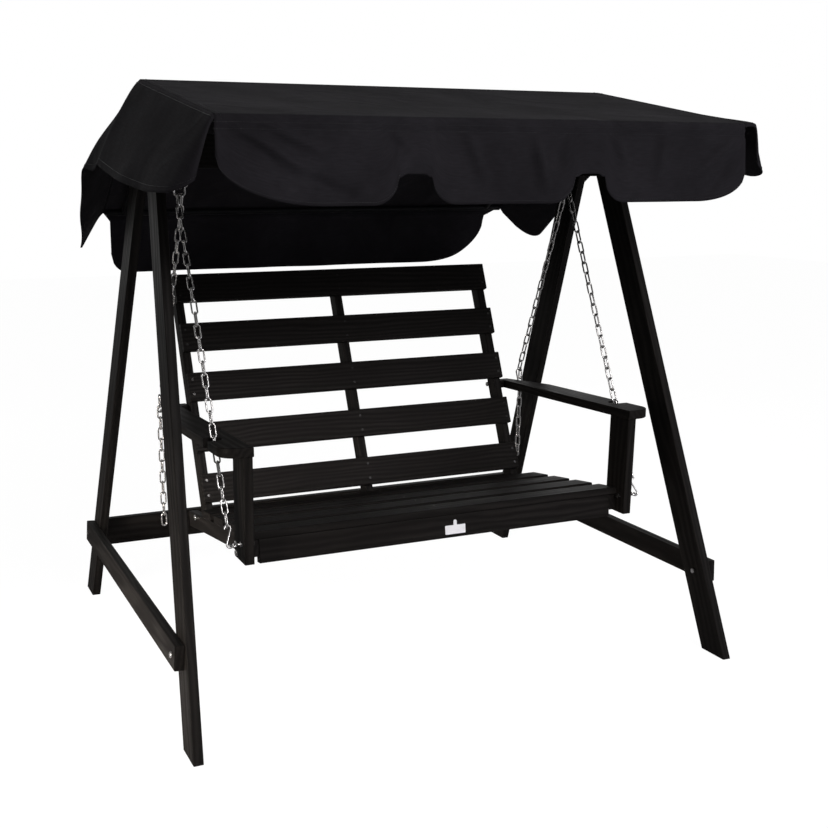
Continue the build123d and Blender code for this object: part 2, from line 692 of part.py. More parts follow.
# A bare plate on the front rail, with an ear above it that a tack holds
plate_place = seat_point(plate_middle, front_rail_inset, -plate_drop)
plate_spot = Plane(origin=plate_place, x_dir=across, z_dir=seat_along * -1)
bare_plate = Pos(0, 0, plate_sheet / 2) * Box(plate_wide, plate_high, plate_sheet)
bare_plate = fillet(bare_plate.edges().filter_by(Axis.Z), plate_sheet * 2)
tack_up = seat_up.dot(plate_spot.y_dir) * tack_rise
bare_plate = bare_plate + Pos(0, tack_up / 2, plate_sheet / 2) * Box(2 * plate_ear, tack_rise, plate_sheet)
bare_plate = bare_plate + Pos(0, tack_up, plate_sheet / 2) * Cylinder(plate_ear, plate_sheet)
bare_plate = bare_plate - Pos(0, tack_up, 0) * Cylinder(screw_radius / 2, 4 * plate_sheet)
tack = Pos(0, tack_up, plate_sheet) * Cylinder(tack_head, plate_sheet, align=from_below)
tack = tack + Pos(0, tack_up, plate_sheet) * rod(screw_radius / 2, plate_sheet)
keep("bare_plate", plate_spot.location * bare_plate, plate_spot.location * tack)


# Eye bolts: a shank along X with a ring that lies level.
def eye_bolt(ring, start, face):
    """An eye bolt with its nut: the shank runs from the nut at start to the ring."""
    loop = Torus(ring_radius, ring_wire / 2)
    shank = along_x(rod(bolt_radius, ring.X - ring_radius - start + nut_height), -ring_radius, 0, 0)
    collar = along_x(rod(bolt_radius * 2, bolt_radius), face + bolt_radius - ring.X, 0, 0)
    nut = extrude(RegularPolygon(nut_radius, 6), nut_height) - Cylinder(bolt_radius, 3 * nut_height)
    nut = along_x(Pos(0, 0, -nut_height) * nut, start, ring.Y, ring.Z)
    return [Pos(ring.X, ring.Y, ring.Z) * (loop + shank + collar), nut]


taper_slope = (arm_width - arm_tail_width) / arm_taper
rear_face = arm_inner + arm_tail_width + (rear_eye_inset + 2 * bolt_radius) * taper_slope
eye_bolts = eye_bolt(front_ring, seat_half_width, post_outer)
eye_bolts += eye_bolt(rear_ring, rail_inner - board, rear_face)
keep("eye_bolts", *both_sides(eye_bolts))

# Shackles: a straight pin on the swing axis and a bow below it that holds two chains.
bow_points = [
    (-bow_half_width, 0, 0),
    (-bow_half_width, 0, -bow_drop),
    (bow_half_width, 0, -bow_drop),
    (bow_half_width, 0, 0),
]
bow_path = FilletPolyline(*bow_points, radius=bow_half_width * 0.5)
bow_section = Plane(origin=bow_points[0], x_dir=(1, 0, 0), z_dir=(0, 0, -1)) * Circle(bow_wire / 2)
bow = sweep(bow_section, path=bow_path)
ear_radius = pin_radius + bow_wire / 2
for way in (-1, 1):
    bow = bow + Pos(way * bow_half_width, 0, 0) * Rot(0, 90, 0) * Cylinder(ear_radius, bow_wire)
pin_length = 2 * bow_half_width + bow_wire
bow = bow - Rot(0, 90, 0) * Cylinder(pin_radius + pin_clearance, 2 * pin_length)
pin = Rot(0, 90, 0) * Cylinder(pin_radius, pin_length)
for way in (-1, 1):
    knob = Rot(0, 90, 0) * Cylinder(ear_radius, pin_radius)
    pin = pin + Pos(way * (pin_length + pin_radius) / 2, 0, 0) * knob
shackle_place = Pos(hanger_place, 0, swing_height)
keep("shackles", *both_sides([shackle_place * bow, shackle_place * pin]))


# Chains: links that alternate by a quarter turn, from the bow to an S-hook on the ring.
def chain_link(inner_length):
    """One link along Z, its flat side facing Y."""
    bend = (chain_inner_width + chain_wire) / 2
    half = inner_length / 2 + chain_wire / 2 - bend
    section = Plane(origin=(bend, 0, 0), x_dir=(1, 0, 0), z_dir=(0, 0, 1)) * Circle(chain_wire / 2)
    path = [
        Line((bend, 0, -half), (bend, 0, half)),
        ThreePointArc((bend, 0, half), (0, 0, half + bend), (-bend, 0, half)),
        Line((-bend, 0, half), (-bend, 0, -half)),
        ThreePointArc((-bend, 0, -half), (0, 0, -half - bend), (bend, 0, -half)),
    ]
    pieces = []
    for line in path:
        start = Plane(origin=line @ 0, z_dir=line % 0)
        pieces.append(sweep(start * Circle(chain_wire / 2), path=line))
    return (pieces[0] + pieces[1] + pieces[2] + pieces[3]).solid()


def s_hook():
    """An S-hook in the XZ plane, its lower bend around the origin and its upper bend above."""
    tilt = degrees(asin(2 * hook_radius / hook_length))
    plane = Plane.XZ
    lower = CenterArc((0, 0), hook_radius, 180 - tilt + hook_turn, -hook_turn)
    upper = CenterArc((0, hook_length), hook_radius, -tilt, hook_turn)
    shank = Line(lower @ 1, upper @ 0)
    path = Wire([plane.location * piece for piece in (lower, shank, upper)])
    section = Plane(origin=path @ 0, z_dir=path % 0) * Circle(chain_wire / 2)
    return sweep(section, path=path).solid()


def link_frame(middle, way, turned):
    """Where a link lies: its length along way, its flat side across or along X."""
    side = (across - way * across.dot(way)).normalized()
    return Plane(origin=middle, x_dir=way.cross(side) if turned else side, z_dir=way).location


def hung_chain(bow_point, ring):
    """The links and the hook of one taut chain, with the direction down it."""
    end = ring + ring_edge
    way = (end - bow_point).normalized()
    length = (end - bow_point).length
    bow_seat = bow_wire / 2 + link_gap
    hook_seat = chain_wire / 2 + link_gap
    ring_seat = hook_radius + (chain_wire / 2 + ring_wire / 2 + link_gap) / way.Z
    fittings = hook_radius + hook_length + ring_seat
    count = 2 * round(((length - fittings) / chain_pitch - 1) / 2) + 1
    inner = (length + bow_seat + hook_seat - fittings + (count - 1) * link_gap) / count
    link = chain_link(inner)
    links = []
    for i in range(count):
        middle = bow_point + way * (inner / 2 - bow_seat + i * (inner - link_gap))
        links.append(link_frame(middle, way, i % 2 == 0) * link)
    lower_bend = end - way * ring_seat
    hook = link_frame(lower_bend, way * -1, False) * mirrored(s_hook())
    tail_seat = hook_radius + (chain_wire + 3 * link_gap) / -way.Z
    tail_rise = (tail_seat**2 - tail_offset**2) ** 0.5
    upper_bend = lower_bend - way * hook_length
    tail_top = upper_bend + across * tail_offset
    tail_top = tail_top + Vector(0, -way.Y * hook_radius / 3, -way.Z * tail_rise)
    return links, hook, tail_top, inner


front_links, front_hook, front_tail, front_inner = hung_chain(front_bow, front_ring)
rear_links, rear_hook, tail_top, rear_inner = hung_chain(rear_bow, rear_ring)
keep("front_chains", *both_sides(front_links))
keep("s_hooks", *both_sides([front_hook, rear_hook]))

# Loose tails: the first link hangs on the hook beside the taut chain, and the rest swing from it.
tail_gap = 2 * link_gap
tail_link = chain_link(rear_inner)
tail_step = rear_inner - tail_gap
tail_first = tail_top.Z - (rear_inner + chain_wire) / 2
down = Vector(0, 0, -1)


def tail_middle(number):
    return Vector(tail_top.X, tail_top.Y, tail_first - number * tail_step)


first_link = link_frame(tail_middle(0), down, True) * tail_link
keep("rear_chains", *both_sides(rear_links + [first_link]))
for label, count in (("left", tail_count_left), ("right", tail_count_right)):
    links = [link_frame(tail_middle(i), down, i % 2 == 0) * tail_link for i in range(1, count + 1)]
    keep("chain_tail_" + label, *([mirrored(link) for link in links] if label == "left" else links))
tail_axis = tail_middle(1) + Vector(0, 0, (rear_inner + chain_wire) / 2)

os.makedirs("parts", exist_ok=True)
for name, solids in parts.items():
    shape = solids[0] if len(solids) == 1 else Compound(children=solids)
    export_step(shape, "parts/" + name + ".step")

print("nodes", len(parts), "solids", sum(len(solids) for solids in parts.values()))
print("swing axis", (0.0, swing_height), "ridge axis", (0.0, ridge_height))
print("tail axis", tail_axis)
print("front links", len(front_links), round(front_inner, 2))
print("rear links", len(rear_links), round(rear_inner, 2))
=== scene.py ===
# %% [markdown]
# # A porch swing, dressed in Blender
# The swing's boards, tubes, bolts and chain links are solids with their real sizes, so this
# lesson loads them as a fixed frame. What is left for Blender is the cloth of the canopy, its
# sewing, the slots in the screw heads, and every finish.

# %% Load the frame
import math

import bpy
import numpy as np
from mathutils import Euler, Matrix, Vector


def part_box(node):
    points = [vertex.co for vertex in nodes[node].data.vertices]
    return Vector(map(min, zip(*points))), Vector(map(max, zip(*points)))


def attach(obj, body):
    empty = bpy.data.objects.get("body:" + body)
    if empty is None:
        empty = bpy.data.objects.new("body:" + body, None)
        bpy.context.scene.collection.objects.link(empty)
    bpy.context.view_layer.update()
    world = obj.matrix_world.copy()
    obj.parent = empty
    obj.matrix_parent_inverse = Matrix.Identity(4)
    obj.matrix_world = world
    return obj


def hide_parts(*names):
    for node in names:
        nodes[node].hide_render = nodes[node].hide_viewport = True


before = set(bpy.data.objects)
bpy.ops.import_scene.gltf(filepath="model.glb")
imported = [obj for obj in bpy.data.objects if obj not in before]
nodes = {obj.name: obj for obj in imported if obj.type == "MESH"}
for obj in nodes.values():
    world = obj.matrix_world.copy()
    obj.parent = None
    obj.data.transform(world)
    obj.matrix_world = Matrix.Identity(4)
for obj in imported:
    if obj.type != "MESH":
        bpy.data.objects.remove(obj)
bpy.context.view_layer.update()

# %% [markdown]
# ## The camera
# The photograph was taken from the front and a little to the left of the swing, at about the
# height of the top beam, looking slightly down. A lens of about 50 mm keeps the legs as steep as
# they look there. The frame was cropped off centre, so the lens is shifted a little.

# %% Camera
CAMERA_PLACE = (-1.5556, -3.2847, 1.4789)
CAMERA_YAW = 22.41
CAMERA_PITCH = 13.85
CAMERA_ROLL = -0.13
FOCAL_PIXELS = 1130.8
IMAGE_PIXELS = 828.0
SENSOR = 36.0
SHIFT = (0.1041, 0.0484)

lens = bpy.data.cameras.new("lens")
lens.sensor_fit = "HORIZONTAL"
lens.sensor_width = SENSOR
lens.lens = FOCAL_PIXELS / IMAGE_PIXELS * SENSOR
lens.shift_x, lens.shift_y = SHIFT
camera = bpy.data.objects.new("camera", lens)
turn = Euler((math.radians(90 - CAMERA_PITCH), 0, math.radians(-CAMERA_YAW)), "XYZ")
roll = Euler((0, 0, math.radians(CAMERA_ROLL)), "XYZ")
camera.rotation_euler = (turn.to_matrix() @ roll.to_matrix()).to_euler()
camera.location = CAMERA_PLACE
bpy.context.scene.collection.objects.link(camera)
bpy.context.scene.camera = camera
bpy.context.scene.view_settings.view_transform = "Standard"
print("lens", round(lens.lens, 2))

# %% [markdown]
# ## Tools for finishes
# Finishes that share an effect share a node group: grain for the boards, thread for the cloth,
# bloom for the zinc. A group gives out a colour, a roughness and a height, and the shader that
# uses them stays in each material.

# %% Helpers for nodes
def add(tree, kind, settings=None, **values):
    """A node with its settings, and with sockets set to values or linked from other sockets.

    A socket is given by its name, or by n and its number where several share a name.
    """
    node = tree.nodes.new(kind)
    for key, value in (settings or {}).items():
        setattr(node, key, value)
    for key, value in values.items():
        numbered = key[0] == "n" and key[1:].isdigit()
        socket = node.inputs[int(key[1:]) if numbered else key.replace("_", " ")]
        if isinstance(value, bpy.types.NodeSocket):
            tree.links.new(value, socket)
        else:
            socket.default_value = value
    return node


def stretched(tree, vector, scale):
    settings = {"operation": "MULTIPLY"}
    return add(tree, "ShaderNodeVectorMath", settings, n0=vector, n1=scale).outputs[0]


def math_node(tree, operation, first, second):
    return add(tree, "ShaderNodeMath", {"operation": operation}, n0=first, n1=second).outputs[0]


def ranged(tree, value, low, high, out_low, out_high):
    """A value whose range from low to high is moved to another range."""
    return add(tree, "ShaderNodeMapRange", None, Value=value, From_Min=low, From_Max=high,
               To_Min=out_low, To_Max=out_high).outputs[0]


def noise(tree, vector, **values):
    return add(tree, "ShaderNodeTexNoise", None, Vector=vector, **values)


print("node helpers ready")

# %% Helpers for finish groups
COLOUR = "NodeSocketColor"
VALUE = "NodeSocketFloat"
VECTOR = "NodeSocketVector"
NOISE_SPAN = (0.3, 0.7)
WHOLE_SPAN = (0.0, 1.0)


def finish_group(name, dark, light):
    """A group that takes a place and two tones, and gives a colour, a roughness and a height."""
    tree = bpy.data.node_groups.new(name, "ShaderNodeTree")
    tree.interface.new_socket("Vector", in_out="INPUT", socket_type=VECTOR)
    for label, tone in (("Dark", dark), ("Light", light)):
        socket = tree.interface.new_socket(label, in_out="INPUT", socket_type=COLOUR)
        socket.default_value = tone
    for label, kind in (("Color", COLOUR), ("Roughness", VALUE), ("Height", VALUE)):
        tree.interface.new_socket(label, in_out="OUTPUT", socket_type=kind)
    return tree, tree.nodes.new("NodeGroupInput"), tree.nodes.new("NodeGroupOutput")


def toned(tree, group_input, factor):
    """A colour between the group's dark and light tones."""
    dark, light = group_input.outputs["Dark"], group_input.outputs["Light"]
    return add(tree, "ShaderNodeMixRGB", None, Fac=factor, Color1=dark, Color2=light).outputs[0]


def give(tree, group_output, colour, roughness, height):
    for label, value in (("Color", colour), ("Roughness", roughness), ("Height", height)):
        tree.links.new(value, group_output.inputs[label])


print("finish helpers ready")

# %% Materials that use a finish group
def finish_material(name, group, vector, bump, settings):
    """A material whose colour, roughness and relief come from a finish group.

    bump is the strength and the distance of the relief.
    """
    material = bpy.data.materials.new(name)
    material.use_nodes = True
    tree = material.node_tree
    shader = tree.nodes["Principled BSDF"]
    use = tree.nodes.new("ShaderNodeGroup")
    use.node_tree = group
    for key, value in settings.get("group", {}).items():
        use.inputs[key].default_value = value
    tree.links.new(vector(tree), use.inputs["Vector"])
    tree.links.new(use.outputs["Color"], shader.inputs["Base Color"])
    tree.links.new(use.outputs["Roughness"], shader.inputs["Roughness"])
    strength, distance = bump
    relief = add(tree, "ShaderNodeBump", None, Strength=strength, Distance=distance,
                 Height=use.outputs["Height"])
    tree.links.new(relief.outputs[0], shader.inputs["Normal"])
    for key, value in settings.get("shader", {}).items():
        shader.inputs[key].default_value = value
    return material


def object_vector(way):
    """Object coordinates, turned so that the given direction becomes Z."""
    angles = Vector(way).rotation_difference(Vector((0, 0, 1))).to_euler()

    def build(tree):
        place = tree.nodes.new("ShaderNodeTexCoord").outputs["Object"]
        return add(tree, "ShaderNodeMapping", None, Vector=place, Rotation=angles).outputs[0]

    return build


def paint(names, material):
    for name in names:
        piece = nodes[name]
        if not piece.material_slots:
            piece.data.materials.append(material)
        for slot in piece.material_slots:
            slot.material = material


print("material helpers ready")

# %% [markdown]
# ## Stained boards
# The boards are softwood under a black stain. The stain sinks deeper into the soft early wood, so
# the harder grain lines stay a little greyer and smoother. Real grain runs along a board, so the
# pattern is a noise that is stretched a long way in one direction and turned to lie along each
# board. A picture of wood would repeat; noise in space never does.

# %% Grain group
FIBRE_STRETCH = (150, 150, 3.5)
WARP_STRETCH = (9, 9, 1.6)
WARP_REACH = (0.06, 0.06, 0.0)
RING_STRETCH = (1, 1, 0.05)
LINE_STRENGTH = (0.35, 1.0)
FIBRE_RELIEF = (0.0, 0.5)
WOOD_ROUGHNESS = (0.6, 0.42)

grain, grain_in, grain_out = finish_group("stained_grain", (0.01, 0.009, 0.008, 1),
                                          (0.05, 0.045, 0.042, 1))
along = grain_in.outputs["Vector"]
fibre = noise(grain, stretched(grain, along, FIBRE_STRETCH), Scale=1.0, Detail=6.0,
              Roughness=0.62).outputs["Fac"]
warp = noise(grain, stretched(grain, along, WARP_STRETCH), Scale=1.0, Detail=3.0).outputs["Color"]
bent = add(grain, "ShaderNodeVectorMath", {"operation": "MULTIPLY_ADD"}, n0=warp, n1=WARP_REACH,
           n2=along).outputs[0]
rings = add(grain, "ShaderNodeTexWave", {"wave_type": "RINGS", "rings_direction": "Z"},
            Vector=stretched(grain, bent, RING_STRETCH), Scale=22.0, Distortion=2.5,
            Detail=2.0).outputs["Fac"]
cloudy = noise(grain, along, Scale=3.2, Detail=3.0).outputs["Fac"]
lines = math_node(grain, "MULTIPLY", rings, ranged(grain, fibre, *NOISE_SPAN, *LINE_STRENGTH))
mask = math_node(grain, "MULTIPLY", lines, ranged(grain, cloudy, *NOISE_SPAN, *LINE_STRENGTH))
give(grain, grain_out, toned(grain, grain_in, mask),
     ranged(grain, mask, *WHOLE_SPAN, *WOOD_ROUGHNESS),
     math_node(grain, "ADD", mask, ranged(grain, fibre, *NOISE_SPAN, *FIBRE_RELIEF)))
print("grain group nodes", len(grain.nodes))

# %% Board materials
ACROSS = (1, 0, 0)
DEEP = (0, 1, 0)
UP = (0, 0, 1)
RAKE = math.radians(21.0)
LEAN = math.radians(3.8)
BACK_LEAN = math.radians(23.5)
SEAT_TILT = math.radians(8.0)
BACK_RISE = (0, math.sin(BACK_LEAN), math.cos(BACK_LEAN))
SEAT_RUN = (0, math.cos(SEAT_TILT), -math.sin(SEAT_TILT))
WOOD_BUMP = (0.22, 0.001)
WOOD = {
    "group": {"Dark": (0.0046, 0.0040, 0.0036, 1), "Light": (0.0138, 0.0122, 0.0111, 1)},
    "shader": {"Specular IOR Level": 0.05},
}


def board_material(name, way):
    return finish_material(name, grain, object_vector(way), WOOD_BUMP, WOOD)


board_across = board_material("board_across", ACROSS)
board_deep = board_material("board_deep", DEEP)
slats = sorted(name for name in nodes if name.startswith(("seat_slat", "back_slat")))
paint(slats, board_across)
paint(["top_beam", "rear_cross_rail", "seat_front_rail", "seat_rear_rail", "arm_spacers"], board_across)
paint(["stretcher_left", "stretcher_right", "armrest_left", "armrest_right"], board_deep)
paint(["apex_gusset_left", "apex_gusset_right"], board_deep)
paint(["arm_post_left", "arm_post_right"], board_material("board_upright", UP))
paint(["back_post_left", "back_post_centre", "back_post_right"], board_material("board_back", BACK_RISE))
paint(["seat_rail_left", "seat_rail_right", "seat_bearer"], board_material("board_seat", SEAT_RUN))
for side, across in (("left", 1), ("right", -1)):
    for end, deep in (("front", 1), ("rear", -1)):
        leg = "leg_" + end + "_" + side
        level = math.cos(RAKE)
        way = (across * math.sin(LEAN) * level, deep * math.sin(RAKE), math.cos(LEAN) * level)
        paint([leg], board_material("board_" + leg, way))
print("boards painted, slats", len(slats))

# %% [markdown]
# ## Zinc, powder coat and the bare plate
# Chain, hooks and bolts are zinc plated: a bright metal with a patchy bloom that makes some spots
# duller. The slat screws were stained over with the boards, so they take the same bloom in dark
# tones. The canopy tubes have a black powder coat with a fine orange-peel skin. The small plate
# on the front rail is left blank, brushed along its length.

# %% Zinc
BLOOM_SPAN = (0.35, 0.65)
ZINC_ROUGHNESS = (0.34, 0.16)
ZINC_BUMP = (0.12, 0.0003)

bloom, bloom_in, bloom_out = finish_group("zinc_bloom", (0.24, 0.235, 0.23, 1), (0.60, 0.59, 0.58, 1))
patches = noise(bloom, bloom_in.outputs["Vector"], Scale=90.0, Detail=4.0).outputs["Fac"]
specks = add(bloom, "ShaderNodeTexVoronoi", None, Vector=bloom_in.outputs["Vector"], Scale=420.0)
bright = ranged(bloom, patches, *BLOOM_SPAN, *WHOLE_SPAN)
give(bloom, bloom_out, toned(bloom, bloom_in, bright),
     ranged(bloom, bright, *WHOLE_SPAN, *ZINC_ROUGHNESS), specks.outputs["Distance"])
zinc = finish_material("zinc_plate", bloom, object_vector(UP), ZINC_BUMP, {
    "shader": {"Metallic": 1.0},
})
stained_zinc = finish_material("stained_zinc", bloom, object_vector(UP), ZINC_BUMP, {
    "group": {"Dark": (0.012, 0.011, 0.010, 1), "Light": (0.05, 0.048, 0.046, 1)},
    "shader": {"Metallic": 0.6},
})
paint(["hanger_eyes", "stand_fasteners", "seat_fasteners", "eye_bolts", "shackles", "s_hooks"], zinc)
paint(["front_chains", "rear_chains", "chain_tail_left", "chain_tail_right", "pivot_plates"], zinc)
paint(["slat_screws"], stained_zinc)
print("zinc nodes", len(bloom.nodes))

# %% Powder coat
COAT_ROUGHNESS = (0.38, 0.55)
COAT_BUMP = (0.2, 0.0004)

peel, peel_in, peel_out = finish_group("powder_skin", (0.012, 0.012, 0.013, 1), (0.03, 0.03, 0.032, 1))
skin = noise(peel, peel_in.outputs["Vector"], Scale=600.0, Detail=2.0).outputs["Fac"]
dusty = noise(peel, peel_in.outputs["Vector"], Scale=14.0, Detail=4.0).outputs["Fac"]
give(peel, peel_out, toned(peel, peel_in, dusty),
     ranged(peel, dusty, *NOISE_SPAN, *COAT_ROUGHNESS), skin)
coat = finish_material("powder_coat", peel, object_vector(UP), COAT_BUMP, {
    "group": {"Dark": (0.004, 0.004, 0.0044, 1), "Light": (0.010, 0.010, 0.011, 1)},
    "shader": {"Specular IOR Level": 0.05},
})
tubes = [name for name in nodes if name.startswith("canopy_arm")]
tubes += ["ridge_tube", "front_tube", "rear_tube"]
paint(tubes, coat)
print("coated tubes", len(tubes))

# %% Bare plate
BRUSH_STRETCH = (2500, 2500, 60)
PLATE_ROUGHNESS = (0.5, 0.34)
PLATE_BUMP = (0.15, 0.0002)

brush, brush_in, brush_out = finish_group("brushed_lines", (0.6, 0.6, 0.61, 1), (0.86, 0.86, 0.87, 1))
brushed = stretched(brush, brush_in.outputs["Vector"], BRUSH_STRETCH)
strokes = noise(brush, brushed, Scale=1.0, Detail=3.0).outputs["Fac"]
give(brush, brush_out, toned(brush, brush_in, strokes),
     ranged(brush, strokes, *NOISE_SPAN, *PLATE_ROUGHNESS), strokes)
plate_finish = finish_material("brushed_plate", brush, object_vector(ACROSS), PLATE_BUMP, {
    "shader": {"Metallic": 0.25},
})
paint(["bare_plate"], plate_finish)
print("plate nodes", len(brush.nodes))

# %% [markdown]
# ## Canopy cloth
# The canopy is a close-woven black cloth. Its colour is not one flat black: worn threads, dust and
# the weave itself vary it. The weave follows the cloth's own UV map, measured in metres along and
# across the cloth, so it bends with every fold. A slow noise adds the rumples that the cloth kept
# from being folded away.

# %% Weave group
THREADS = 700.0
FULL_TURN = 6.28
SLUB_STRETCH = (30, 240, 1)
SLUB_SPAN = (0.25, 0.75)
SLUB_STRENGTH = (0.55, 1.0)
FADE_STRENGTH = (0.3, 1.0)
CROSSING_STRENGTH = (0.6, 1.0)
NOISE_MIDDLE = 0.5
CREASE_SPAN = (0.0, 0.16)
CREASE_HEIGHT = (1.0, 0.0)
THREAD_HEIGHT = 0.08
CLOTH_ROUGHNESS = (0.92, 0.74)

weave, weave_in, weave_out = finish_group("cloth_weave", (0.011, 0.011, 0.013, 1),
                                          (0.032, 0.031, 0.036, 1))
thread_way = weave_in.outputs["Vector"]


def thread_bands(direction):
    return add(weave, "ShaderNodeTexWave", {"bands_direction": direction}, Vector=thread_way,
               Scale=THREADS / FULL_TURN, Distortion=0.6, Detail=1.0, Detail_Scale=0.4).outputs["Fac"]


crossing = math_node(weave, "MULTIPLY", thread_bands("X"), thread_bands("Y"))
slub = noise(weave, stretched(weave, thread_way, SLUB_STRETCH), Scale=1.0, Detail=3.0).outputs["Fac"]
faded = noise(weave, thread_way, Scale=4.0, Detail=5.0, Roughness=0.6).outputs["Fac"]
worn = math_node(weave, "MULTIPLY", ranged(weave, faded, *NOISE_SPAN, *FADE_STRENGTH),
                 ranged(weave, slub, *SLUB_SPAN, *SLUB_STRENGTH))
shown = math_node(weave, "MULTIPLY", worn, ranged(weave, crossing, *WHOLE_SPAN, *CROSSING_STRENGTH))
rumple = noise(weave, thread_way, Scale=5.0, Detail=1.0, Distortion=0.8).outputs["Fac"]
off_crease = math_node(weave, "SUBTRACT", rumple, NOISE_MIDDLE)
crease = math_node(weave, "ABSOLUTE", off_crease, 0.0)
relief = math_node(weave, "ADD", ranged(weave, crease, *CREASE_SPAN, *CREASE_HEIGHT),
                   math_node(weave, "MULTIPLY", crossing, THREAD_HEIGHT))
give(weave, weave_out, toned(weave, weave_in, shown),
     ranged(weave, worn, *WHOLE_SPAN, *CLOTH_ROUGHNESS), relief)
print("weave nodes", len(weave.nodes))

# %% Cloth material
CLOTH_BUMP = (0.4, 0.0035)
CLOTH = {
    "group": {"Dark": (0.0052, 0.0048, 0.0056, 1), "Light": (0.0215, 0.0200, 0.0236, 1)},
    "shader": {"Sheen Weight": 0.01, "Sheen Roughness": 0.5, "Specular IOR Level": 0.04},
}


def cloth_vector(tree):
    return add(tree, "ShaderNodeUVMap", {"uv_map": "cloth"}).outputs[0]


canopy_cloth = finish_material("canopy_cloth", weave, cloth_vector, CLOTH_BUMP, CLOTH)
print("cloth material", canopy_cloth.name)

# %% [markdown]
# ## The roof sheet
# The roof and its front and rear valances are one length of cloth. It starts at the front hem,
# goes up over the front tube, over the ridge tube and down behind the rear tube to the rear hem.
# It is built as a grid of rows along that line. Rows on the panels sag a little between the arms,
# and rows on the valances swing in folds that grow towards the hem.

# %% Roof sizes, read from the frame
def middle(name):
    low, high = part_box(name)
    return (low + high) / 2


def radius(name):
    low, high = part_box(name)
    return (high.z - low.z) / 2


THICK = 0.0016
CLEARANCE = 0.0005
LIFT = CLEARANCE + THICK / 2
ridge_at = middle("ridge_tube")
front_at = middle("front_tube")
rear_at = middle("rear_tube")
ridge_skin = radius("ridge_tube") + LIFT
bar_skin = radius("front_tube") + LIFT
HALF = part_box("canopy_top")[1].x
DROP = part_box("valance_front")[1].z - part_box("valance_front")[0].z


def skin_angle(bar, way):
    """Angle from +Y, in the YZ plane, of the line square to a panel and out of the cloth."""
    run = bar - ridge_at
    ease = math.asin((ridge_skin - bar_skin) / run.length)
    level = math.atan2(run.z, run.y)
    return level + math.pi / 2 - ease if way > 0 else level + 1.5 * math.pi + ease


front_angle = skin_angle(front_at, -1)
rear_angle = skin_angle(rear_at, 1)
print("half width", round(HALF, 4), "drop", round(DROP, 4), "angles",
      round(math.degrees(front_angle), 1), round(math.degrees(rear_angle), 1))

# %% Rows of the roof sheet
VALANCE_ROWS = 26
PANEL_ROWS = 34
ARC_ROWS = 6
FRONT, PANEL, REAR = 0, 1, 2
rows = []


def round_point(centre, skin, angle):
    return np.array((centre.y + skin * math.cos(angle), centre.z + skin * math.sin(angle)))


def put_row(kind, place, share, normal):
    """One row: its kind, its place in the YZ plane, its share of the way, its outward direction."""
    rows.append((kind, place[0], place[1], share, normal[0], normal[1]))


def put_arc(centre, skin, first, last):
    for i in range(ARC_ROWS):
        angle = first + (last - first) * i / (ARC_ROWS - 1)
        put_row(PANEL, round_point(centre, skin, angle), 0.0, (math.cos(angle), math.sin(angle)))


def put_panel(first, last, angle):
    for i in range(1, PANEL_ROWS):
        share = i / PANEL_ROWS
        put_row(PANEL, first + (last - first) * share, share, (math.cos(angle), math.sin(angle)))


front_top = round_point(front_at, bar_skin, math.pi)
rear_top = round_point(rear_at, bar_skin, 0.0)
for i in range(VALANCE_ROWS):
    put_row(FRONT, front_top, 1 - i / VALANCE_ROWS, (-1, 0))
put_arc(front_at, bar_skin, math.pi, front_angle)
put_panel(round_point(front_at, bar_skin, front_angle),
          round_point(ridge_at, ridge_skin, front_angle), front_angle)
put_arc(ridge_at, ridge_skin, front_angle, rear_angle)
put_panel(round_point(ridge_at, ridge_skin, rear_angle),
          round_point(rear_at, bar_skin, rear_angle), rear_angle)
put_arc(rear_at, bar_skin, rear_angle, 0.0)
for i in range(1, VALANCE_ROWS + 1):
    put_row(REAR, rear_top, i / VALANCE_ROWS, (1, 0))
print("rows", len(rows))

# %% Outline of the valances
LEVEL_SHARE = 0.14
NOTCH_AT = HALF / 3
NOTCH_HALF = 0.048
NOTCH_DEEP = 0.075
NOTCH_ROUND = 0.026
LOBE_ROUND = 0.07
FRONT_LEFT_END = (0.28, 0.115)
FRONT_RIGHT_END = (0.15, 0.075)
REAR_LEFT_END = (0.06, 0.06)
REAR_RIGHT_END = (0.33, 0.165)
REAR_DRAW_FROM = 0.30
REAR_DRAW = {"left": 0.022, "right": 0.065}


def corner_lift(distance, size, height=None):
    """How much an outline rises at a distance inside a corner rounded to a quarter ellipse."""
    height = size if height is None else height
    gap = np.clip(1 - distance / size, 0.0, 1.0)
    return height * (1 - np.sqrt(np.maximum(1 - gap**2, 0.0)))


def end_lift(x, left, right):
    return corner_lift(x + HALF, *left) + corner_lift(HALF - x, *right)


def front_hem(x):
    """Length of the front valance at a place across the cloth."""
    from_notch = np.minimum(np.abs(x - NOTCH_AT), np.abs(x + NOTCH_AT)) - NOTCH_HALF
    lift = corner_lift(np.maximum(from_notch, 0.0), LOBE_ROUND)
    inside = NOTCH_DEEP - corner_lift(np.maximum(-from_notch, 0.0), NOTCH_ROUND)
    lift = np.where(from_notch < 0, inside, lift)
    return DROP - lift - end_lift(x, FRONT_LEFT_END, FRONT_RIGHT_END)


def rear_hem(x):
    return DROP - end_lift(x, REAR_LEFT_END, REAR_RIGHT_END)


def rear_draw(x, share):
    """How far the ends of the rear valance are drawn in towards the middle, below its pocket."""
    reach = np.clip((np.abs(x) - REAR_DRAW_FROM) / (HALF - REAR_DRAW_FROM), 0.0, 1.0)
    amount = np.where(x < 0, REAR_DRAW["left"], -REAR_DRAW["right"])
    return amount * reach**2 * min(share / LEVEL_SHARE, 1.0)


print("front hem in the middle", round(float(front_hem(np.array([0.0]))[0]), 4))

# %% Folds of the cloth
FOLD_WAVES = (5, 8, 11, 15)
FOLD_GAIN = 5
FOLD_STRENGTH = (0.6, 1.0)


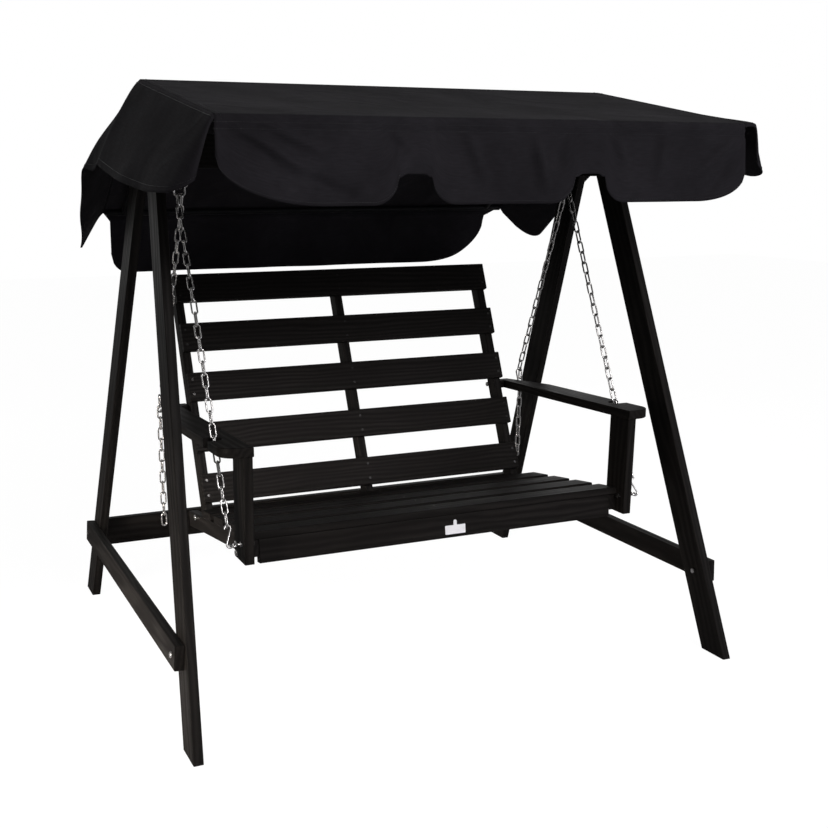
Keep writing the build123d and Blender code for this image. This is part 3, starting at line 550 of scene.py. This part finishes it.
def folds(x, seed):
    """Soft folds across the cloth: a few waves of different widths, the same on every run."""
    draw = np.random.default_rng(seed)
    total = np.zeros_like(x)
    for count in FOLD_WAVES:
        phase = draw.uniform(0, FULL_TURN)
        strength = draw.uniform(*FOLD_STRENGTH)
        total = total + np.sin(count * math.pi * (x / HALF) * 0.5 + phase) * strength / count
    return total * FOLD_GAIN


def pulled_fold(x, share, start, end, width):
    """A soft ridge along a line on the cloth, from one (place, share) to another, fading at both ends."""
    way = np.array(end) - np.array(start)
    reach = np.hypot(way[0], way[1] * DROP)
    to_x = x - start[0]
    to_v = (share - start[1]) * DROP
    along_fold = (to_x * way[0] + to_v * way[1] * DROP) / reach**2
    off_fold = (to_v * way[0] - to_x * way[1] * DROP) / reach
    fade = np.clip(np.sin(np.pi * np.clip(along_fold, 0.0, 1.0)), 0.0, 1.0)
    return fade * np.exp(-((off_fold / width) ** 2))


# Each pulled fold of the front valance has a start, an end and a height. The start and the end
# are a place across the cloth and a share of the way down.
FRONT_PULLS = (
    ((-0.74, 0.02), (-0.52, 0.70), 0.018),
    ((-0.66, 0.02), (-0.48, 0.42), 0.013),
    ((-0.60, 0.55), (-0.40, 0.95), -0.010),
    ((-0.34, 0.06), (-0.28, 0.60), -0.010),
    ((-0.12, 0.04), (-0.05, 0.80), 0.012),
    ((0.08, 0.02), (0.12, 0.90), 0.016),
    ((0.19, 0.04), (0.14, 0.60), -0.010),
    ((0.33, 0.04), (0.37, 0.55), 0.013),
    ((0.50, 0.03), (0.47, 0.80), 0.011),
    ((0.74, 0.10), (0.58, 0.75), 0.015),
    ((0.75, 0.35), (0.64, 0.95), -0.010),
)
print("pulled folds", len(FRONT_PULLS))

# %% A cloth sheet from a grid of points
def sheet_object(name, points, uvs, material):
    """A grid of points as a smooth cloth sheet with a UV map in metres and a real thickness."""
    count_u, count_v = points.shape[:2]
    mesh = bpy.data.meshes.new(name)
    index = np.arange(count_u * count_v).reshape(count_u, count_v)
    corners = (index[:-1, :-1], index[:-1, 1:], index[1:, 1:], index[1:, :-1])
    quads = np.stack(corners, axis=-1).reshape(-1, 4)
    mesh.from_pydata(points.reshape(-1, 3).tolist(), [], quads.tolist())
    layer = mesh.uv_layers.new(name="cloth")
    loops = np.empty(len(mesh.loops), dtype=np.int32)
    mesh.loops.foreach_get("vertex_index", loops)
    layer.data.foreach_set("uv", uvs.reshape(-1, 2)[loops].astype(np.float32).reshape(-1))
    mesh.polygons.foreach_set("use_smooth", np.ones(len(mesh.polygons), dtype=bool))
    mesh.materials.append(material)
    piece = bpy.data.objects.new(name, mesh)
    bpy.context.scene.collection.objects.link(piece)
    shell = piece.modifiers.new("thickness", "SOLIDIFY")
    shell.thickness = THICK
    shell.offset = 0.0
    return piece


def flat_lengths(points):
    """Length along the cloth from the first row to each point."""
    steps = np.linalg.norm(np.diff(points, axis=0), axis=2)
    return np.vstack((np.zeros((1, points.shape[1])), np.cumsum(steps, axis=0)))


print("cloth sheet helpers ready")

# %% Shape of the roof and valance rows
COLUMNS = 193
SAG = 0.009
RIPPLE = 0.0016
ARM_AT = 0.7
FOLD_TOP = 0.0015
FOLD_HEM = 0.0075
FOLD_ONSET = 6
FOLD_STANDOFF = 1.2
FOLD_WIDTH = 0.014
POCKET_SHARE = 0.12
POCKET_WIDTH = 0.03
POCKET_CREASE = 0.004
FRONT_SEED, REAR_SEED, ROOF_SEED = 4, 9, 21

x_line = np.linspace(-HALF, HALF, COLUMNS)
front_fold = folds(x_line, FRONT_SEED)
rear_fold = folds(x_line, REAR_SEED)
ripple = folds(x_line, ROOF_SEED)
slack = np.clip(1 - (x_line / ARM_AT) ** 2, 0.0, 1.0)


def panel_depth(share):
    """How far a roof row sags below the straight line between two tubes."""
    return -math.sin(math.pi * share) * slack * (SAG + RIPPLE * ripple)


def valance_depth(kind, share):
    """How far a valance row stands out: its folds, the crease under its pocket, its pulled folds."""
    wave = front_fold if kind == FRONT else rear_fold
    reach = FOLD_TOP + (FOLD_HEM - FOLD_TOP) * share
    depth = min(share * FOLD_ONSET, 1.0) * (reach * wave + reach * FOLD_STANDOFF)
    depth = depth - POCKET_CREASE * math.exp(-(((share - POCKET_SHARE) / POCKET_WIDTH) ** 2))
    if kind == FRONT:
        for start, end, height in FRONT_PULLS:
            depth = depth + height * pulled_fold(x_line, share, start, end, FOLD_WIDTH)
    return depth


def valance_fall(kind, share):
    """How far a valance row hangs down: level in the pocket, then more and more like the hem."""
    if share < LEVEL_SHARE:
        return share * DROP
    hem = front_hem(x_line) if kind == FRONT else rear_hem(x_line)
    below = (share - LEVEL_SHARE) / (1 - LEVEL_SHARE)
    return LEVEL_SHARE * DROP + below * (hem - LEVEL_SHARE * DROP)


print("points across", COLUMNS)

# %% Build the roof sheet
grid = np.zeros((len(rows), COLUMNS, 3))
for i, (kind, y, z, share, out_y, out_z) in enumerate(rows):
    depth = panel_depth(share) if kind == PANEL else valance_depth(kind, share)
    fall = 0.0 if kind == PANEL else valance_fall(kind, share)
    grid[i, :, 0] = x_line + (rear_draw(x_line, share) if kind == REAR else 0.0)
    grid[i, :, 1] = y + out_y * depth
    grid[i, :, 2] = z + out_z * depth - fall
lengths = flat_lengths(grid)
roof_uv = np.stack((np.broadcast_to(x_line, lengths.shape), lengths), axis=-1)
roof = sheet_object("canopy_sheet", grid, roof_uv, canopy_cloth)
print("roof points", grid.shape, "cut length", round(float(lengths[-1].max()), 4))

# %% [markdown]
# ## The side flaps
# A flap hangs at each end of the roof, from the front corner past the ridge to the rear corner. It
# is one strip of cloth. Along the front slope it hangs nearly straight down and leans outward. Past
# the ridge the strip has more cloth than it needs, so it stands out in a rounded fold before it
# turns down along the rear slope. The two ends were never hung alike: the right one stands up in
# a crest at the front corner and ends in a blunt lobe, and the left one ends in a point.

# %% The edge that the flaps hang from
FLAP_COLUMNS = 150
roof_rows = [i for i, row in enumerate(rows) if row[0] == PANEL]
edge = np.array([(rows[i][1], rows[i][2]) for i in roof_rows])
edge_run = np.concatenate(([0.0], np.cumsum(np.linalg.norm(np.diff(edge, axis=0), axis=1))))
places = np.linspace(0.0, edge_run[-1], FLAP_COLUMNS)
top_y = np.interp(places, edge_run, edge[:, 0])
top_z = np.interp(places, edge_run, edge[:, 1])
from_ridge = places - edge_run[-1] / 2
print("flap edge", round(float(edge_run[-1]), 4))

# %% How the flaps hang along that edge
# Each stop: distance from the ridge, lean towards the rear, flare in degrees, depth share.
LEAN_COLUMN, FLARE_COLUMN, DEPTH_COLUMN = 1, 2, 3
RIDGE_STOPS = (
    (0.03, 0.05, 29.0, 1.40),
    (0.09, 0.03, 31.0, 1.26),
    (0.20, -0.12, 43.0, 0.97),
    (0.33, -0.28, 46.0, 0.93),
)
LEFT_STOPS = (
    (-0.72, 0.05, 27.0, 1.03),
    (-0.55, 0.06, 27.0, 1.22),
    (-0.40, 0.06, 28.0, 1.31),
    (-0.15, 0.06, 28.5, 1.40),
    *RIDGE_STOPS,
    (0.50, -0.44, 40.0, 0.94),
    (0.62, -0.52, 35.0, 0.92),
    (0.72, -0.55, 33.0, 0.86),
)
RIGHT_STOPS = (
    (-0.72, 0.06, 34.0, 0.95),
    (-0.55, 0.06, 35.0, 1.05),
    (-0.35, 0.06, 35.0, 1.08),
    (-0.15, 0.05, 32.0, 1.22),
    *RIDGE_STOPS,
    (0.50, -0.40, 40.0, 0.96),
    (0.62, -0.42, 35.0, 1.02),
    (0.72, -0.42, 33.0, 1.05),
)
FLAP_STOPS = {"left": np.array(LEFT_STOPS), "right": np.array(RIGHT_STOPS)}
EASE_COLUMNS = 13


def smooth_stops(label, column):
    """A stop value along the flap, eased with a short running mean so that it has no kinks."""
    stops = FLAP_STOPS[label]
    fine = np.interp(from_ridge, stops[:, 0], stops[:, column])
    padded = np.pad(fine, EASE_COLUMNS // 2, mode="edge")
    return np.convolve(padded, np.ones(EASE_COLUMNS) / EASE_COLUMNS, mode="valid")


print("flap stops", len(LEFT_STOPS), len(RIGHT_STOPS))

# %% Length and folds of a flap
FLAP_DEEP = 0.19
FLAP_FRONT_CORNER = {"left": (0.07, 0.045), "right": (0.12, 0.06)}
FLAP_REAR_CORNER = {"left": (0.012, 0.012), "right": (0.09, 0.17)}
FLAP_WAVES = (4, 7, 11)
FLAP_WAVE_GAIN = 2.5


def flap_length(label):
    length = FLAP_DEEP * smooth_stops(label, DEPTH_COLUMN)
    length = length - corner_lift(places, *FLAP_FRONT_CORNER[label])
    return length - corner_lift(places[-1] - places, *FLAP_REAR_CORNER[label])


def flap_wave(seed):
    draw = np.random.default_rng(seed)
    wave = np.zeros(FLAP_COLUMNS)
    for count in FLAP_WAVES:
        phase = draw.uniform(0, FULL_TURN)
        wave = wave + np.sin(count * math.pi * places / places[-1] + phase) * FLAP_WAVE_GAIN / count
    return wave


print("left flap deepest", round(float(flap_length("left").max()), 4))

# %% Shape of a flap
FLAP_ROWS = 30
FLAP_SWING = 0.012
FLAP_SWING_RISE = 0.4
CURL_WIDTH = 0.06
CURL_DEPTH = 0.026
SHOULDER = {"left": 0.008, "right": 0.0}
SHOULDER_TURN = 0.015
PUFF = 0.018
PUFF_AT = 0.13
PUFF_WIDTH = 0.12
CREST = {"left": 0.0, "right": 0.03}
CREST_WIDTH = 0.25
CREST_DEEP = 0.09
CREST_ONSET = 3


def flap_points(label, side, seed):
    """Rows of points from the roof's edge down to the hem of one flap."""
    lean_back = smooth_stops(label, LEAN_COLUMN)
    flare = np.radians(smooth_stops(label, FLARE_COLUMN))
    length = flap_length(label)
    wave = flap_wave(seed)
    puff = PUFF * np.exp(-(((from_ridge - PUFF_AT) / PUFF_WIDTH) ** 2))
    crest = CREST[label] * np.exp(-((places / CREST_WIDTH) ** 2))
    curl = np.clip(1 - places / CURL_WIDTH, 0.0, 1.0) ** 2
    drop_z = np.sqrt(1 - lean_back**2)
    points = np.zeros((FLAP_ROWS, FLAP_COLUMNS, 3))
    for i in range(FLAP_ROWS):
        share = i / (FLAP_ROWS - 1)
        down = share * length
        turn_over = 1 - np.exp(-down / SHOULDER_TURN)
        swell = puff * math.sin(math.pi * share)
        rise = crest * np.sin(math.pi * np.clip(down / CREST_DEEP, 0.0, 1.0)) + swell / 2
        out = down * np.sin(flare) + SHOULDER[label] * turn_over + swell
        out = out + crest * np.clip(CREST_ONSET * down / CREST_DEEP, 0.0, 1.0)
        fall = down * np.cos(flare)
        swing = FLAP_SWING * share * wave
        points[i, :, 0] = side * (HALF + out + swing * np.cos(flare) - CURL_DEPTH * curl * share)
        points[i, :, 1] = top_y + fall * lean_back
        points[i, :, 2] = top_z - fall * drop_z + swing * np.sin(flare) * FLAP_SWING_RISE + rise
    return points


print("rows of a flap", FLAP_ROWS)

# %% Build the flaps
FLAP_SEEDS = {"left": 31, "right": 47}
flaps = {}
for label, side in (("left", -1), ("right", 1)):
    shape = flap_points(label, side, FLAP_SEEDS[label])
    if side < 0:
        shape = shape[:, ::-1]
    run = flat_lengths(shape)
    flap_uv = np.stack((np.broadcast_to(places, run.shape), run), axis=-1)
    flaps[label] = (sheet_object("canopy_flap_" + label, shape, flap_uv, canopy_cloth), shape)
    print("flap", label, shape.reshape(-1, 3).min(0).round(3), shape.reshape(-1, 3).max(0).round(3))

# %% [markdown]
# ## Sewing
# Rows of stitches hold the pocket of the front tube, the ridge, and every hem. A stitch is tiny and
# there are thousands, so Geometry Nodes lay them: seam lines become curves, the curves are cut to
# the stitch spacing, and a short thread is set on each point along the line.

# %% Helpers for Geometry Nodes
GEOMETRY = "NodeSocketGeometry"
MATERIAL = "NodeSocketMaterial"
WHOLE_NUMBER = "NodeSocketInt"


def geometry_group(name, inputs):
    """A tree for a modifier, with named inputs for its sizes."""
    tree = bpy.data.node_groups.new(name, "GeometryNodeTree")
    tree.is_modifier = True
    for label, kind in (("Geometry", GEOMETRY), *inputs):
        tree.interface.new_socket(label, in_out="INPUT", socket_type=kind)
    tree.interface.new_socket("Geometry", in_out="OUTPUT", socket_type=GEOMETRY)
    return tree, tree.nodes.new("NodeGroupInput"), tree.nodes.new("NodeGroupOutput")


def set_inputs(modifier, values):
    """Sets a modifier's inputs by name. Blender itself keeps them by each socket's identifier."""
    for item in modifier.node_group.interface.items_tree:
        if item.item_type == "SOCKET" and item.in_out == "INPUT" and item.name in values:
            modifier[item.identifier] = values[item.name]


def made_plain(piece, name, material):
    """The evaluated piece as a plain mesh object, with one material and no modifier left."""
    graph = bpy.context.evaluated_depsgraph_get()
    mesh = bpy.data.meshes.new_from_object(piece.evaluated_get(graph))
    mesh.materials.clear()
    mesh.materials.append(material)
    result = bpy.data.objects.new(name, mesh)
    bpy.context.scene.collection.objects.link(result)
    old = piece.data
    bpy.data.objects.remove(piece)
    bpy.data.meshes.remove(old)
    return result


print("geometry helpers ready")

# %% A tree that sews along lines
THREAD_SIDES = 5
sewing, sewing_in, sewing_out = geometry_group("sewing", [
    ("Spacing", VALUE), ("Stitch Length", VALUE), ("Thread", VALUE), ("Material", MATERIAL),
])
curves = add(sewing, "GeometryNodeMeshToCurve", None, Mesh=sewing_in.outputs["Geometry"])
cut = add(sewing, "GeometryNodeResampleCurve", {"mode": "LENGTH"}, Curve=curves.outputs[0],
          Length=sewing_in.outputs["Spacing"])
thread = add(sewing, "GeometryNodeMeshCylinder", {"fill_type": "NGON"}, Vertices=THREAD_SIDES,
             Radius=sewing_in.outputs["Thread"], Depth=sewing_in.outputs["Stitch Length"])
tangent = sewing.nodes.new("GeometryNodeInputTangent")
facing = add(sewing, "FunctionNodeAlignRotationToVector", {"axis": "Z"}, Vector=tangent.outputs[0])
stitches = add(sewing, "GeometryNodeInstanceOnPoints", None, Points=cut.outputs[0],
               Instance=thread.outputs[0], Rotation=facing.outputs[0])
real = add(sewing, "GeometryNodeRealizeInstances", None, Geometry=stitches.outputs[0])
dyed = add(sewing, "GeometryNodeSetMaterial", None, Geometry=real.outputs[0],
           Material=sewing_in.outputs["Material"])
sewing.links.new(dyed.outputs[0], sewing_out.inputs["Geometry"])
print("sewing nodes", len(sewing.nodes))

# %% Seam lines
THREAD_LIFT = 0.0003
RIDGE_REACH = 0.03
UNDER_RIDGE = 0.5
FRONT_POCKET_ROWS = (VALANCE_ROWS - 1, VALANCE_ROWS - 3)
REAR_POCKET_ROW = len(rows) - VALANCE_ROWS + 2
HEM_ROWS = (1, len(rows) - 2)
SIDE_COLUMNS = (2, COLUMNS - 3)
FLAP_SEAM_ROWS = (1, FLAP_ROWS - 3)
inside_point = np.array((0.0, 0.0, ridge_at.z - UNDER_RIDGE))


def outward_normals(points):
    """Normals of a grid of cloth points, turned away from a point under the ridge."""
    normal = np.cross(np.gradient(points, axis=1), np.gradient(points, axis=0))
    normal = normal / np.maximum(np.linalg.norm(normal, axis=2, keepdims=True), 1e-9)
    facing_out = np.sign(np.sum(normal * (points - inside_point), axis=2, keepdims=True))
    return normal * np.where(facing_out == 0, 1, facing_out)


def surface_line(points, outward):
    """Seam points lifted off the middle of the cloth to its outer face."""
    return points + outward * (THICK / 2 + THREAD_LIFT)


seams = []
roof_out = outward_normals(grid)
ridge_rows = [i for i in roof_rows if abs(rows[i][1] - ridge_at.y) < RIDGE_REACH]
for i in (HEM_ROWS[0], *FRONT_POCKET_ROWS, ridge_rows[0], ridge_rows[-1], REAR_POCKET_ROW, HEM_ROWS[1]):
    seams.append(surface_line(grid[i], roof_out[i]))
for j in SIDE_COLUMNS:
    seams.append(surface_line(grid[roof_rows, j], roof_out[roof_rows, j]))
for _, shape in flaps.values():
    flap_out = outward_normals(shape)
    for i in FLAP_SEAM_ROWS:
        seams.append(surface_line(shape[i], flap_out[i]))
print("seams", len(seams))

# %% Sew
STITCH_SPACING = 0.007
STITCH_LENGTH = 0.0045
THREAD_RADIUS = 0.0006
DULL_BUMP = (0.1, 0.0002)
# The thread's own dull black; the same tones are used again as the painted shade of the screw slots.
BLACK_THREAD_AND_SLOT_SHADE = {
    "group": {"Dark": (0.006, 0.006, 0.007, 1), "Light": (0.014, 0.014, 0.016, 1)},
    "shader": {"Specular IOR Level": 0.1},
}
thread_black = finish_material("sewing_thread", peel, object_vector(UP), DULL_BUMP, BLACK_THREAD_AND_SLOT_SHADE)


def line_mesh(name, lines):
    points = [tuple(point) for line in lines for point in line]
    edges = []
    start = 0
    for line in lines:
        edges += [(start + i, start + i + 1) for i in range(len(line) - 1)]
        start += len(line)
    mesh = bpy.data.meshes.new(name)
    mesh.from_pydata(points, edges, [])
    piece = bpy.data.objects.new(name, mesh)
    bpy.context.scene.collection.objects.link(piece)
    return piece


seam_lines = line_mesh("seam_lines", seams)
sew = seam_lines.modifiers.new("sew", "NODES")
sew.node_group = sewing
set_inputs(sew, {"Spacing": STITCH_SPACING, "Stitch Length": STITCH_LENGTH, "Thread": THREAD_RADIUS,
                 "Material": thread_black})
stitching = made_plain(seam_lines, "canopy_stitching", thread_black)
print("stitch faces", len(stitching.data.polygons))

# %% [markdown]
# ## Slots in the screw heads
# Every slat is held by countersunk screws with a cross slot. A slot is not cut into the head: it is
# two short dark bars laid over the head, a painted shade that stands for the shade down in the slot,
# turned by a different angle on each screw, as a driver leaves them. The same small shape repeats on
# every screw, so Geometry Nodes copy it to a list of points.

# %% A tree that copies a cross slot to points
SLOT_DEPTH = 0.0003
slots, slots_in, slots_out = geometry_group("screw_slots", [
    ("Slot Length", VALUE), ("Slot Width", VALUE), ("Seed", WHOLE_NUMBER), ("Material", MATERIAL),
])
bars = slots.nodes.new("GeometryNodeJoinGeometry")
for first, second in (("Slot Length", "Slot Width"), ("Slot Width", "Slot Length")):
    size = add(slots, "ShaderNodeCombineXYZ", None, X=slots_in.outputs[first],
               Y=slots_in.outputs[second], Z=SLOT_DEPTH)
    bar = add(slots, "GeometryNodeMeshCube", None, Size=size.outputs[0])
    slots.links.new(bar.outputs[0], bars.inputs[0])
normal = add(slots, "GeometryNodeInputNamedAttribute", {"data_type": "FLOAT_VECTOR"}, Name="facing")
stand_up = add(slots, "FunctionNodeAlignRotationToVector", {"axis": "Z"}, Vector=normal.outputs[0])
spin = add(slots, "FunctionNodeRandomValue", {"data_type": "FLOAT"}, Seed=slots_in.outputs["Seed"])
for socket in spin.inputs:
    if socket.name == "Max" and socket.type == "VALUE":
        socket.default_value = math.pi
twist = add(slots, "ShaderNodeCombineXYZ", None, Z=spin.outputs[1])
turned = add(slots, "FunctionNodeRotateRotation", {"rotation_space": "LOCAL"}, n0=stand_up.outputs[0],
             n1=twist.outputs[0])
copies = add(slots, "GeometryNodeInstanceOnPoints", None, Points=slots_in.outputs["Geometry"],
             Instance=bars.outputs[0], Rotation=turned.outputs[0])
made = add(slots, "GeometryNodeRealizeInstances", None, Geometry=copies.outputs[0])
# The bars take a dark finish that is painted shade, standing in for the shade down in each slot.
bars_in_painted_shade = add(slots, "GeometryNodeSetMaterial", None, Geometry=made.outputs[0],
            Material=slots_in.outputs["Material"])
slots.links.new(bars_in_painted_shade.outputs[0], slots_out.inputs["Geometry"])
print("slot nodes", len(slots.nodes))

# %% Screw places, from the slats themselves
SCREW_SPREAD = 0.025
SEAT_SCREW_INSET = 0.0137
BACK_SCREW_INSET = 0.014
HEAD_LIFT = 0.0002
SLAT_THICK = 0.022
SEAT_FACING = (0, math.sin(SEAT_TILT), math.cos(SEAT_TILT))
BACK_FACING = (0, -math.cos(BACK_LEAN), math.sin(BACK_LEAN))
seat_way = (Vector(SEAT_FACING), Vector(SEAT_RUN), SEAT_SCREW_INSET)
back_way = (Vector(BACK_FACING), Vector(BACK_RISE), BACK_SCREW_INSET)

screw_points = []
screw_facing = []
for name in slats:
    out, way, inset = seat_way if name.startswith("seat") else back_way
    half = (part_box(name)[1].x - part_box(name)[0].x) / 2
    for x in (half - inset, 0.0, inset - half):
        for spread in (-SCREW_SPREAD, SCREW_SPREAD):
            point = middle(name) + way * spread + out * (SLAT_THICK / 2 + HEAD_LIFT)
            screw_points.append((x, point.y, point.z))
            screw_facing.append(tuple(out))
print("screws", len(screw_points))

# %% Lay the painted shade of the slots
SLOT_LENGTH = 0.0045
SLOT_WIDTH = 0.0011
SLOT_SEED = 3
# The slot bars take a dark finish: painted shade for the recess of each slot, not a colour of the screw.
slot_painted_shade = finish_material("slot_shadow", peel, object_vector(UP), DULL_BUMP, BLACK_THREAD_AND_SLOT_SHADE)
slot_mesh = bpy.data.meshes.new("slot_points")
slot_mesh.from_pydata(screw_points, [], [])
slot_facing = slot_mesh.attributes.new("facing", "FLOAT_VECTOR", "POINT")
slot_facing.data.foreach_set("vector", np.array(screw_facing, dtype=np.float32).reshape(-1))
slot_points = bpy.data.objects.new("slot_points", slot_mesh)
bpy.context.scene.collection.objects.link(slot_points)
cutting = slot_points.modifiers.new("slots", "NODES")
cutting.node_group = slots
set_inputs(cutting, {"Slot Length": SLOT_LENGTH, "Slot Width": SLOT_WIDTH, "Seed": SLOT_SEED,
                     "Material": slot_painted_shade})
screw_slots = made_plain(slot_points, "screw_slots", slot_painted_shade)
print("slot faces", len(screw_slots.data.polygons))

# %% [markdown]
# ## Studio
# A pale floor and a white surround keep the look of a catalogue photograph. One large soft lamp
# hangs high in front and lights the roof and the seat. A low, narrow lamp on the left brightens
# the outer faces of the left legs, as in the photograph, and weak lamps open up the shadows.

# %% Floor
FLOOR_HALF = 14.0
FLOOR_COLOUR = (0.55, 0.55, 0.55, 1)
FLOOR_GLOW = 1.14
FLOOR_GLOW_SHARE = 0.85
WHITE = (1, 1, 1, 1)


def seen_white(tree, surface):
    """White for the camera, mixed over a plain surface that still takes the shadow."""
    path = tree.nodes.new("ShaderNodeLightPath")
    share_seen = math_node(tree, "MULTIPLY", path.outputs["Is Camera Ray"], FLOOR_GLOW_SHARE)
    glow = add(tree, "ShaderNodeEmission", None, Color=WHITE, Strength=FLOOR_GLOW)
    mix = add(tree, "ShaderNodeMixShader", None, n0=share_seen, n1=surface, n2=glow.outputs[0])
    return mix.outputs[0]


floor_corners = [(x * FLOOR_HALF, y * FLOOR_HALF, 0) for x, y in ((-1, -1), (1, -1), (1, 1), (-1, 1))]
floor_mesh = bpy.data.meshes.new("floor")
floor_mesh.from_pydata(floor_corners, [], [(0, 1, 2, 3)])
floor = bpy.data.objects.new("floor", floor_mesh)
bpy.context.scene.collection.objects.link(floor)
floor_finish = bpy.data.materials.new("pale_floor")
floor_finish.use_nodes = True
floor_tree = floor_finish.node_tree
floor_shader = floor_tree.nodes["Principled BSDF"]
floor_shader.inputs["Base Color"].default_value = FLOOR_COLOUR
floor_shader.inputs["Roughness"].default_value = 0.9
floor_shader.inputs["Specular IOR Level"].default_value = 0.1
floor_tree.links.new(seen_white(floor_tree, floor_shader.outputs[0]),
                     floor_tree.nodes["Material Output"].inputs["Surface"])
floor_mesh.materials.append(floor_finish)
print("floor half width", FLOOR_HALF)

# %% World
SURROUND_LIGHT = 0.19
SURROUND_WHITE = 1.0
REFLECTED_SHARE = 0.4

world = bpy.data.worlds.new("studio")
bpy.context.scene.world = world
world.use_nodes = True
world_tree = world.node_tree
sky = world_tree.nodes["Background"]
sky.inputs["Color"].default_value = WHITE
path = world_tree.nodes.new("ShaderNodeLightPath")
direct = math_node(world_tree, "MAXIMUM", path.outputs["Is Camera Ray"],
                   path.outputs["Is Transmission Ray"])
reflected = math_node(world_tree, "MULTIPLY", path.outputs["Is Glossy Ray"], REFLECTED_SHARE)
whiteness = math_node(world_tree, "MAXIMUM", direct, reflected)
world_tree.links.new(ranged(world_tree, whiteness, *WHOLE_SPAN, SURROUND_LIGHT, SURROUND_WHITE),
                     sky.inputs["Strength"])
print("world nodes", len(world_tree.nodes))

# %% Lamps
LOW_LAMP_SPREAD = math.radians(42)


def lamp(name, place, target, size, power, tint):
    """A square soft lamp that faces a target."""
    light = bpy.data.lights.new(name, "AREA")
    light.shape = "RECTANGLE"
    light.size = size
    light.size_y = size
    light.energy = power
    light.color = tint
    holder = bpy.data.objects.new(name, light)
    holder.location = place
    holder.rotation_euler = (Vector(target) - Vector(place)).to_track_quat("-Z", "Y").to_euler()
    bpy.context.scene.collection.objects.link(holder)
    return holder


lamp("key", (0.4, -4.9, 3.7), (0, 0, 1.0), size=1.8, power=176, tint=(1.0, 0.97, 0.98))
lamp("fill", (2.4, -3.6, 1.6), (0, 0, 0.9), size=2.0, power=38, tint=(0.9, 0.9, 1.0))
low_lamp = lamp("left", (-2.6, -0.9, 0.5), (-0.85, -0.1, 0.1), size=0.8, power=12, tint=(1.0, 0.92, 0.85))
low_lamp.data.spread = LOW_LAMP_SPREAD
for label, side in (("left", -1), ("right", 1)):
    lamp("rear_" + label, (side * 2.6, 3.8, 1.7), (0, 0, 1.0), size=1.6, power=10, tint=(1.0, 1.0, 1.0))
print("lamps", len(bpy.data.lights))

# %% [markdown]
# ## Joining the pieces to the frame
# The cloth and its sewing move with the canopy, and the screw slots with the seat. The solids that
# the cloth stands for are hidden, and each flap prints the area of its cloth.

# %% Ride and replace
for piece in (roof, stitching, flaps["left"][0], flaps["right"][0]):
    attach(piece, "canopy")
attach(screw_slots, "swing")
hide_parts("canopy_top", "valance_front", "valance_rear")
for label in ("left", "right"):
    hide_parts("side_flap_front_" + label, "side_flap_rear_" + label)
print("pieces joined to the frame")

def cloth_area(points):
    """Area of a grid of cloth points, as two triangles for each cell."""
    first = points[:-1, :-1]
    last = points[1:, 1:]
    beside = points[:-1, 1:]
    under = points[1:, :-1]
    first_half = np.linalg.norm(np.cross(beside - first, under - first), axis=2)
    last_half = np.linalg.norm(np.cross(under - last, beside - last), axis=2)
    return float((first_half + last_half).sum() / 2)


for label in ("left", "right"):
    piece, shape = flaps[label]
    print("flap", label, "area", round(cloth_area(shape), 4))
